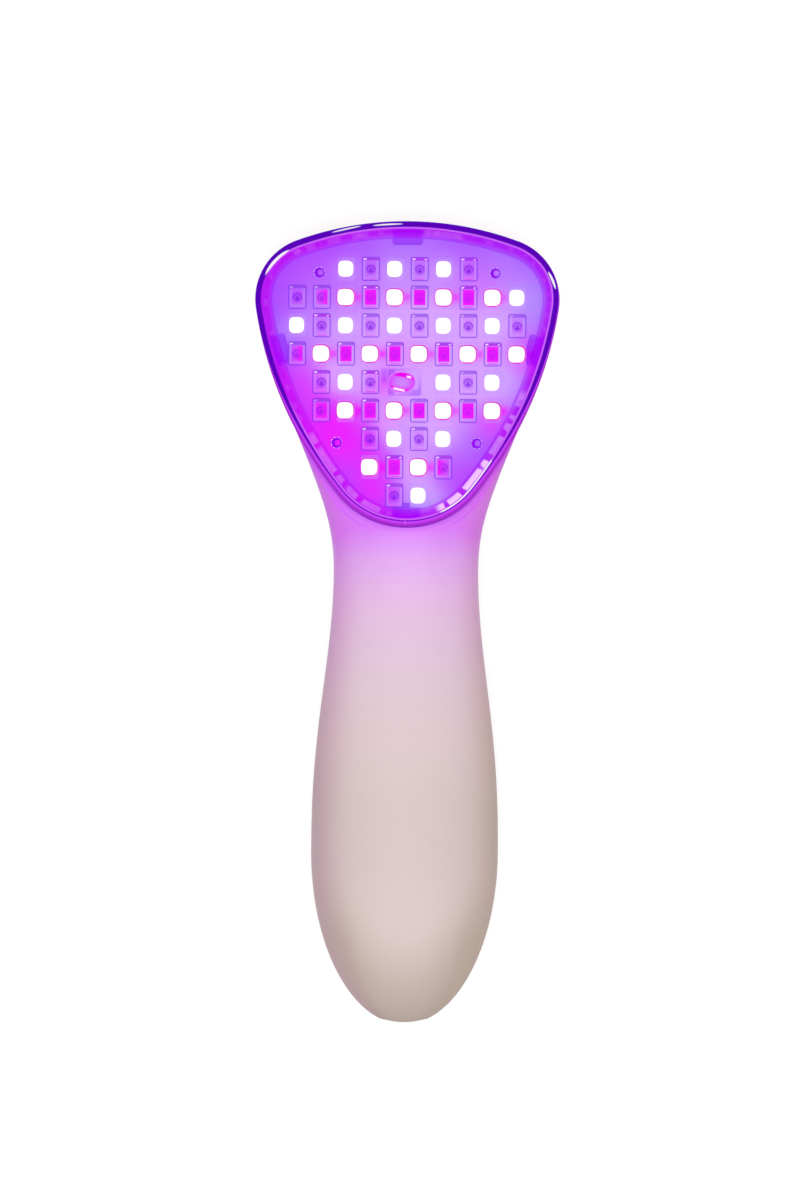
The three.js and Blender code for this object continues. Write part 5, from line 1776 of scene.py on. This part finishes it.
@dataclass
class SensorLens:
    """The oblong clear dome over the sensor."""

    outline: HeadOutline
    x: float = -1.1
    rise: float = 30.72
    half_width: float = 2.9
    half_length: float = 2.15
    foot: float = 25.0
    height: float = 1.1

    def build(self) -> list[Piece]:
        """Builds the dome: rings whose size is cos(t) and whose level is sin(t) of the height."""
        turn = np.linspace(0, np.pi / 2, 14)[:-1]
        w, l = self.half_width, self.half_length
        rings = [rounded_ring(w * math.cos(t), l * math.cos(t), 2.5, 64) for t in turn]
        levels = [self.foot, *(self.foot + self.height * np.sin(turn))]
        dome = stacked([rings[0], *rings], levels)
        x, y, z = dome.points.T
        dome.values = {"spot": np.stack([x / w, y / l, z * 0], axis=1)}
        dome = dome.facing_out().moved(self.x, self.outline.chin_y + self.rise, 0)
        piece = placed("sensor_dome", dome, [LensPlastic("lens_clear")], 60)
        return [stands_for(piece, "sensor_lens")]


@dataclass
class Carrier:
    """The moulded carrier under the board: its plate, its rim round the board and its pins.

    Attributes:
        margin: How far its edge lies inside the outline.
        hub_rise: The rise of the point that its plate's faces meet in.
    """

    outline: HeadOutline
    board: LightBoard
    margin: float = 2.4
    rim_width: float = 0.9
    bottom: float = 20.1
    plate_top: float = 21.5
    rim_top: float = 23.3
    pin_top: float = 24.3
    hub_rise: float = 40.0

    def body(self) -> Patch:
        """The plate and rim: the outline carried through a profile of distances in and levels."""
        edge, inner, top = self.margin, self.margin + self.rim_width, self.rim_top
        profile = [
            (edge, self.bottom), (edge, top - 0.2), (edge + 0.2, top),
            (inner - 0.15, top), (inner, top - 0.15), (inner, self.plate_top),
        ]
        rings = [self.outline.ring(-inset, 200) for inset, _ in profile]
        hub = rings[0] * 0 + np.array([0, self.outline.chin_y + self.hub_rise])
        levels = np.array([self.bottom, *(level for _, level in profile), self.plate_top])
        return grid(lifted(np.stack([hub, *rings, hub]), levels), wrap=True).facing_out()

    def pin(self, x: float, y: float) -> Patch:
        """A pin with a rounded edge and a dished end."""
        top, foot = self.pin_top, self.plate_top - 0.3
        profile = [
            (0, foot), (1, foot), (1, top - 0.22), (0.93, top - 0.06), (0.8, top), (0.66, top),
            (0.55, top - 0.06), (0.45, top - 0.1), (0.3, top - 0.12), (0.15, top - 0.13),
            (0, top - 0.14),
        ]
        return turned_form(profile, 32, x, y)

    def build(self) -> list[Piece]:
        """Builds the carrier, with painted shade in rings round its pins and below its rim's top, most
        beside the clips.
        """
        pins = self.board.pins()
        surface = together([self.body(), *(self.pin(x, y) for x, y in pins)])
        piece = placed("board_carrier", surface, [LitBoard("lit_carrier", 0.7)], 50)
        points = mesh_points(piece.data)
        # Painted shade: a dark ring round the edge of each pin, wider on its left, and the faces below
        # the rim's top, deepest beside the clips.
        x, y = (points[:, i : i + 1] - np.array(pins)[:, i] for i in (0, 1))
        inner = np.hypot(x - 0.22, y).min(axis=1)
        ring = smooth(inner, 0.4, 0.8) * (np.hypot(x, y).min(axis=1) < 1.05)
        low = smooth(-points[:, 2], -self.rim_top + 0.2, -self.plate_top)
        beside = self.outline.near_clip(points, 4.0, 6.2)
        self.board.lit_by(piece, np.maximum(ring, low * (0.2 + 0.4 * beside)))
        return [stands_for(piece, "led_carrier")]


@dataclass
class ClearCover:
    """The clear cover: a skirt, a rolled edge and a flat window, with four clips.

    Attributes:
        wall, roll: The skirt's thickness and the rolled edge's width.
        shoulder: The level at which the edge begins to roll.
        hub_rise: The rise of the point that the window's faces meet in.
        count: How many points half a ring has, roughly.
    """

    outline: HeadOutline
    board: LightBoard
    wall: float = 2.0
    foot: float = 20.7
    shoulder: float = 26.2
    window: float = 29.2
    under: float = 27.4
    roll: float = 2.6
    hub_rise: float = 40.0
    count: int = 230

    def profile(self) -> tuple[Array, Array]:
        """The outer and the inner skin, as rows of distance in from the outline and level.

        The rolled edge is a quarter of an ellipse: in by roll (1 - cos a), up by rise sin a.
        """
        turn = np.linspace(0, np.pi / 2, 15)
        rise = self.window - self.shoulder
        edge = [self.roll * (1 - np.cos(turn)), self.shoulder + rise * np.sin(turn)]
        outer = [(0.15, self.foot), (0, self.foot + 0.15), (0, 22.5), (0, 24.4)]
        flat = [(inset, self.window) for inset in (2.8, 3.0, 3.2, 3.4, 3.7, 4.2, 6.0, 12.0)]
        under, wall = self.under, self.wall
        inner = [
            (12.0, under), (6.0, under), (3.2, under), (2.6, under - 0.12), (2.15, under - 0.5),
            (wall, under - 1.1), (wall, 24.0), (wall, self.foot + 0.15), (1.85, self.foot),
        ]
        return np.concatenate([outer, np.stack(edge, axis=1), flat]), np.array(inner)

    def rim_widths(self, ring: Array) -> tuple[Array, Array]:
        """The widths of the outer purple band and of the indigo band round the outline.

        The purple band is widest at the chin, the indigo band at the crown.

        Args:
            ring: The outline.

        Returns:
            The two widths at each of its points.
        """
        rise = ring[:, 1] - self.outline.chin_y
        upper, right = smooth(rise, 14, 46), smooth(ring[:, 0], -24, 24)
        outer = 1.05 - 0.98 * smooth(rise, 8, 46) * (1.0 - 0.22 * right)
        outer = np.where(rise > 46, outer * smooth(-rise, -58, -46), outer)
        indigo = 0.30 + 0.26 * smooth(rise, 6, 20) + upper * (0.62 - 0.06 * right)
        indigo += 0.14 * smooth(rise, 48, 60)
        return np.maximum(outer, 0.01), indigo

    def along(self, ring: Array, x: float, rise: float) -> float:
        """The distance along the outline of the point nearest to a place."""
        gap2 = (ring[:, 0] - x) ** 2 + (ring[:, 1] - self.outline.chin_y - rise) ** 2
        return float(run_along(ring)[gap2.argmin()])

    def painted_highlights(self, ring: Array) -> tuple[PaintedHighlight, ...]:
        """The painted highlights: a crescent at the upper left, two thin ones at the crown and one at
        the right.
        """
        return tuple(
            PaintedHighlight(self.along(ring, *first), self.along(ring, *last), inset, half, lean)
            for first, last, inset, half, lean in (
                ((-25.2, 59.2), (-30.8, 53.6), 1.14, 0.32, -0.10),
                ((-9.6, 62.9), (-15.8, 61.4), 0.50, 0.16, 0.10),
                ((-0.8, 64.6), (-7.4, 63.9), 0.62, 0.17, 0.0),
                ((31.9, 50.6), (30.1, 54.6), 0.80, 0.26, 0.12),
            )
        )

    def flare(self, ring: Array) -> Array:
        """How brightly the painted light on the blocks in the skirt shines along the outline, most at
        lower right.
        """
        run, total = run_along(ring), np.zeros(len(ring))
        for first, last, strength in (
            ((7.5, 2.6), (19.0, 14.0), 1.0), ((19.0, 14.0), (26.5, 28.0), 0.28),
            ((-6.0, 1.5), (-22.0, 19.0), 0.16), ((-26.0, 58.0), (-8.0, 63.6), 0.05),
            ((2.0, 64.9), (12.0, 63.0), 0.08),
        ):
            low, high = sorted((self.along(ring, *first), self.along(ring, *last)))
            ends = smooth(run, low - 1, low + 1) * smooth(-run, -high - 1, 1 - high)
            total = np.maximum(total, strength * ends)
        return total

    def marks(self, ring: Array, inward: Array, skin: Array) -> Values:
        """What the cover's points carry for its finish.

        Args:
            ring: The outline.
            inward: How far in from it each row of points lies.
            skin: One for each row of the outer skin, zero for the inner.

        Returns:
            The carried values, as rows and columns.
        """
        x, rise = ring[:, 0], ring[:, 1] - self.outline.chin_y
        outer, indigo = self.rim_widths(ring)
        rows, spread = inward[:, None] * np.ones(len(ring)), np.ones((len(inward), 1))
        low_left = smooth(-x, 24, 27) * smooth(-rise, -57, -53)
        return {
            "inward": rows,
            "outer": rows / outer,
            "rim": (rows - outer) / indigo,
            "line_at": spread * (outer + indigo),
            "skin": skin[:, None] * np.ones(len(ring)),
            "low": spread * (1 - smooth(rise, 8, 30)),
            "warm": spread * smooth(-x, -22, 6),
            "left": spread * low_left,
            "flare": spread * self.flare(ring),
            "clip": spread * self.outline.near_clip(ring, 2.9, 4.1),
            "band": np.stack([spread * run_along(ring), rows, rows * 0], axis=2),
        }

    def clips(self, values: Values) -> list[Patch]:
        """The four spring clips that snap into the deck: flat tongues with a nib at the foot.

        Args:
            values: What the shell's points carry; the clips carry the same, as plain numbers.

        Returns:
            The closed surfaces.
        """
        rows = [(3.1, 0.5, 16.95), (2.9, 0.7, 17.9), (3.1, 0.5, 18.1), (3.1, 0.5, 27.5)]
        own = [rounded_ring(half, 3.0, 10, 24) + np.array([centre, 0]) for centre, half, _ in rows]
        levels = [level for _, _, level in rows]
        plain = {"inward": 2.4, "outer": 3.0, "rim": 3.0, "line_at": 1.2, "skin": 0.6, "clip": 1.0}
        made = []
        for spot in self.outline.clip_spots():
            clip = stacked([self.outline.at_clip(spot, ring) for ring in own], levels)
            clip.values = {
                name: np.full((len(clip.points), value.shape[1]), plain.get(name, 0.0))
                for name, value in values.items()
            }
            made.append(clip.facing_out())
        return made

    def build(self) -> list[Piece]:
        """Builds and dresses the cover."""
        base = self.outline.ring(0, self.count)
        hub = base * 0 + np.array([0, self.outline.chin_y + self.hub_rise])
        outer, inner = self.profile()
        rows = np.concatenate([outer, inner, outer[:1]])
        skin = np.concatenate([np.ones(len(outer)), np.zeros(len(inner)), [1]])
        rings = [self.outline.ring(-inset, self.count) for inset in rows[:, 0]]
        rings[len(outer) - 1] = rings[len(outer)] = hub
        points = lifted(np.stack(rings), rows[:, 1])
        shell = grid(points, self.marks(base, rows[:, 0], skin), wrap=True).facing_out()
        finish = ClearCoverPlastic("cover_clear", self.painted_highlights(base))
        surface = together([shell, *self.clips(shell.values)])
        piece = placed("clear_cover", surface, [finish], 40)
        self.board.lit_by(piece)
        return [stands_for(piece, "window_cover")]


@dataclass
class BackControls:
    """The power button in the back of the neck and the light pipe beside it.

    Attributes:
        cap, flange, stem: The radii of the button's parts.
    """

    housing: Housing
    cap: float = 5.7
    flange: float = 6.9
    stem: float = 2.0

    def button(self) -> Piece:
        """Builds the button: a dished cap with a raised ring, on its flange and stem."""
        (_, _, foot), (_, _, top) = node_box("power_button")
        face = [
            (0, 0.34), (2.0, 0.32), (2.9, 0.27), (3.15, 0.12), (3.45, 0.12), (3.7, 0.2),
            (4.6, 0.08), (5.0, 0), (5.25, 0.03), (5.5, 0.16), (5.65, 0.36), (self.cap, 0.6),
            (self.cap, 2.25), (self.flange, 2.25), (self.flange, 3.25), (self.stem, 3.25),
        ]
        profile = [(radius, foot + rise) for radius, rise in face]
        form = turned_form([*profile, (self.stem, top), (0, top)], 96, 0, self.housing.button_y)
        finish = MouldedPlastic("button_plastic", (214, 205, 203), 0.38)
        piece = placed("button_cap", form, [finish], 40)
        return stands_for(piece, "power_button", "button")

    def pipe(self) -> Piece:
        """Builds the light pipe with its domed end."""
        (left, _, foot), (right, _, top) = node_box("indicator_light_pipe")
        radius = (right - left) / 2
        turn = np.linspace(0, np.pi / 2, 7)
        dome = [(radius * math.sin(t), foot + 0.5 * (1 - math.cos(t))) for t in turn]
        form = turned_form([*dome, (radius, top), (0, top)], 40, 0, self.housing.pipe_y)
        finish = MouldedPlastic("pipe_clear", (226, 228, 232), 0.15)
        piece = placed("indicator_pipe", form, [finish], 40)
        return stands_for(piece, "indicator_light_pipe")

    def build(self) -> list[Piece]:
        """Builds both controls."""
        return [self.button(), self.pipe()]


@dataclass
class ChargingSocket:
    """The charging socket at the tip: a rolled shell with a tongue in it."""

    tongue_half: float = 3.3
    tongue_thick: float = 0.35

    def build(self) -> list[Piece]:
        """Builds the shell and the tongue.

        The shell is a slot carried along Y, whose rows are a distance in and a place, closed at
        its back. The tongue's rows are its size and its place.
        """
        low, high = node_box("usb_socket")
        (x_half, _, z_half), (_, _, mid) = (high - low) / 2, (high + low) / 2
        start, end, count = low[1], high[1], 64
        wall = [
            (0, end), (0, start + 0.15), (0.08, start), (0.22, start), (0.3, start + 0.1),
            (0.3, end - 0.6),
        ]
        tube = [slot_ring(x_half - z_half, z_half - inset, y, mid, count) for inset, y in wall]
        ends = [slot_ring(0, 0, y, mid, count) for y in (end, end - 0.6)]
        shell = grid(np.stack([ends[0], *tube, ends[1]]), wrap=True).facing_out()
        x, z = rounded_ring(self.tongue_half, self.tongue_thick, 8, count).T
        tongue = np.stack([
            np.stack([x * size, np.full(count, y), mid + z * size], axis=1) for size, y in (
                (0, end - 0.5), (1, end - 0.5), (1, start + 1.0), (0.94, start + 0.8),
                (0, start + 0.8),
            )
        ])
        blade = grid(tongue, wrap=True).facing_out()
        blade.paint = np.ones(len(blade.quads), int)
        piece = placed("charging_socket", together([shell, blade]), [
            SheetMetal("socket_shell", (196, 198, 202), 0.28),
            MouldedPlastic("socket_tongue", (26, 26, 28), 0.5),
        ], 40)
        return [stands_for(piece, "usb_socket")]


INNER_FINISHES = {
    "_screw": SheetMetal("screw_steel", (150, 153, 158), 0.32, 1600.0),
    "battery_tab": SheetMetal("nickel_strip", (196, 190, 176), 0.3),
    "heat_spreader": SheetMetal("spreader_aluminium", (206, 208, 212), 0.35, 700.0),
    "battery_cell": MouldedPlastic("cell_sleeve", (62, 122, 190), 0.32, 0.004),
    "battery_cradle": MouldedPlastic("black_moulding", (30, 30, 33), 0.5),
    "battery_foam": SoftFoam("black_foam", (46, 46, 49)),
    "main_board": BoardLacquer("green_board", (26, 92, 56), (44, 122, 74)),
    "charge_board": BoardLacquer("small_green_board", (24, 88, 54), (42, 118, 72)),
    "tact_switch": MouldedPlastic("switch_body", (34, 34, 37), 0.42),
    "switch_plunger": MouldedPlastic("plunger_plastic", (222, 220, 218), 0.4),
    "window_gasket": MouldedPlastic("gasket_rubber", (238, 236, 235), 0.7, 0.02),
    "led_cable": MouldedPlastic("flat_cable_film", (214, 166, 92), 0.4, 0.006),
    "_red": MouldedPlastic("red_insulation", (190, 32, 30), 0.46),
    "_black": MouldedPlastic("black_insulation", (24, 24, 26), 0.46),
}


class Internals:
    """The pieces inside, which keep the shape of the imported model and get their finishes."""

    def build(self) -> list[Piece]:
        """Gives every piece that is still shown the first finish whose key its name holds."""
        shown = [
            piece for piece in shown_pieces() if "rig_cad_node" in piece and "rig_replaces" not in piece
        ]
        for piece in shown:
            node = piece["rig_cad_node"]
            finish = next(finish for key, finish in INNER_FINISHES.items() if key in node)
            piece.data.materials.clear()
            piece.data.materials.append(material_of(finish))
        return shown


@dataclass
class Stage:
    """The white floor that the device lies on, with soft studio light.

    Attributes:
        reach: Half the floor's side in metres.
        fill: How bright the surroundings are to the device.
        key: The power of the small light at the upper left, in watts.
        top: The power of the large soft light above, in watts.
    """

    reach: float = 2.5
    fill: float = 0.37
    key: float = 1.0
    top: float = 12.0

    def floor(self) -> None:
        """Builds the floor."""
        line = np.linspace(-self.reach, self.reach, 9) / MM
        x, y = np.meshgrid(line, line)
        sheet = grid(np.stack([x, y, x * 0], axis=2))
        placed("floor", sheet, [FloorSheet("white_floor")])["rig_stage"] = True

    def surroundings(self) -> None:
        """Makes the world white to the camera and softly bright to the device."""
        world = bpy.data.worlds.new("studio")
        bpy.context.scene.world = world
        world.use_nodes = True
        world.node_tree.nodes.clear()
        net = Net(world.node_tree)
        strength = net.step(net.seen(), 0, 1, self.fill, 1.0)
        background = net.node("Background", {"Color": WHITE, "Strength": strength})
        net.node("OutputWorld", {"Surface": background.outputs[0]})

    def lamp(self, name: str, spot: Triple, size: Pair, power: float) -> None:
        """Adds a soft rectangular lamp that faces the head of the device.

        Args:
            name: The lamp's name.
            spot: Its place in metres.
            size: Its width and length in metres.
            power: Its power in watts.
        """
        light = bpy.data.lights.new(name, "AREA")
        light.shape, light.size, light.size_y, light.energy = "RECTANGLE", *size, power
        lamp = bpy.data.objects.new(name, light)
        lamp.location, lamp.visible_camera = spot, False
        way = np.array([0, 0.02, 0.02]) - np.array(spot)
        fall = math.acos(-way[2] / float(np.linalg.norm(way)))
        lamp.rotation_euler = (0, -fall, math.atan2(way[1], way[0]))
        bpy.context.scene.collection.objects.link(lamp)

    def build(self) -> None:
        """Builds the floor, the surroundings and the lamps."""
        self.floor()
        self.surroundings()
        self.lamp("key", (-0.42, 0.55, 1.05), (0.24, 0.2), self.key)
        self.lamp("top", (0.02, -0.13, 1.5), (0.7, 0.7), self.top)


@dataclass
class Viewpoint:
    """The camera straight above the device, as in the photograph.

    Attributes:
        lens: Its focal length in millimetres.
        distance: How far it stands above the level of the device's widest place, in metres.
        roll: How far it is turned about its own axis, in degrees.
    """

    lens: float = 600.9
    distance: float = 4.262
    level: float = 0.022
    x: float = -0.00124
    y: float = 0.00470
    roll: float = 0.3

    def build(self) -> None:
        """Builds the camera and makes it the scene's."""
        data = bpy.data.cameras.new("camera")
        data.lens, data.sensor_width, data.clip_end = self.lens, 36.0, 30.0
        camera = bpy.data.objects.new("camera", data)
        camera.location = (self.x, self.y, self.level + self.distance)
        camera.rotation_euler = (0, 0, math.radians(self.roll))
        bpy.context.scene.collection.objects.link(camera)
        bpy.context.scene.camera = camera


def main() -> None:
    """Builds the camera, every sub-assembly and the stage in order, and reports each piece."""
    logging.basicConfig(level=logging.INFO, format="%(message)s")
    bpy.context.scene.view_settings.view_transform = "Standard"
    Viewpoint().build()
    build_effect(Effect.GRAIN, {"Scale": 2200.0, "Tone Strength": 0.04}, grain)
    build_effect(Effect.MOTTLE, {"Scale": 60.0}, mottle)
    build_effect(Effect.BRUSHED, {"Scale": 900.0}, brushed)
    build_effect(Effect.LIGHT, {"Extra Red": 0.0}, board_light)
    outline = HeadOutline()
    board, housing = LightBoard(outline), Housing(outline)
    for sub_assembly in (
        housing, board, Carrier(outline, board), SensorLens(outline), ClearCover(outline, board),
        ChargingSocket(), BackControls(housing), Internals(),
    ):
        for piece in sub_assembly.build():
            LOG.info("%s: %d faces", piece.name, len(piece.data.polygons))
    Stage().build()


if __name__ == "__main__":
    main()
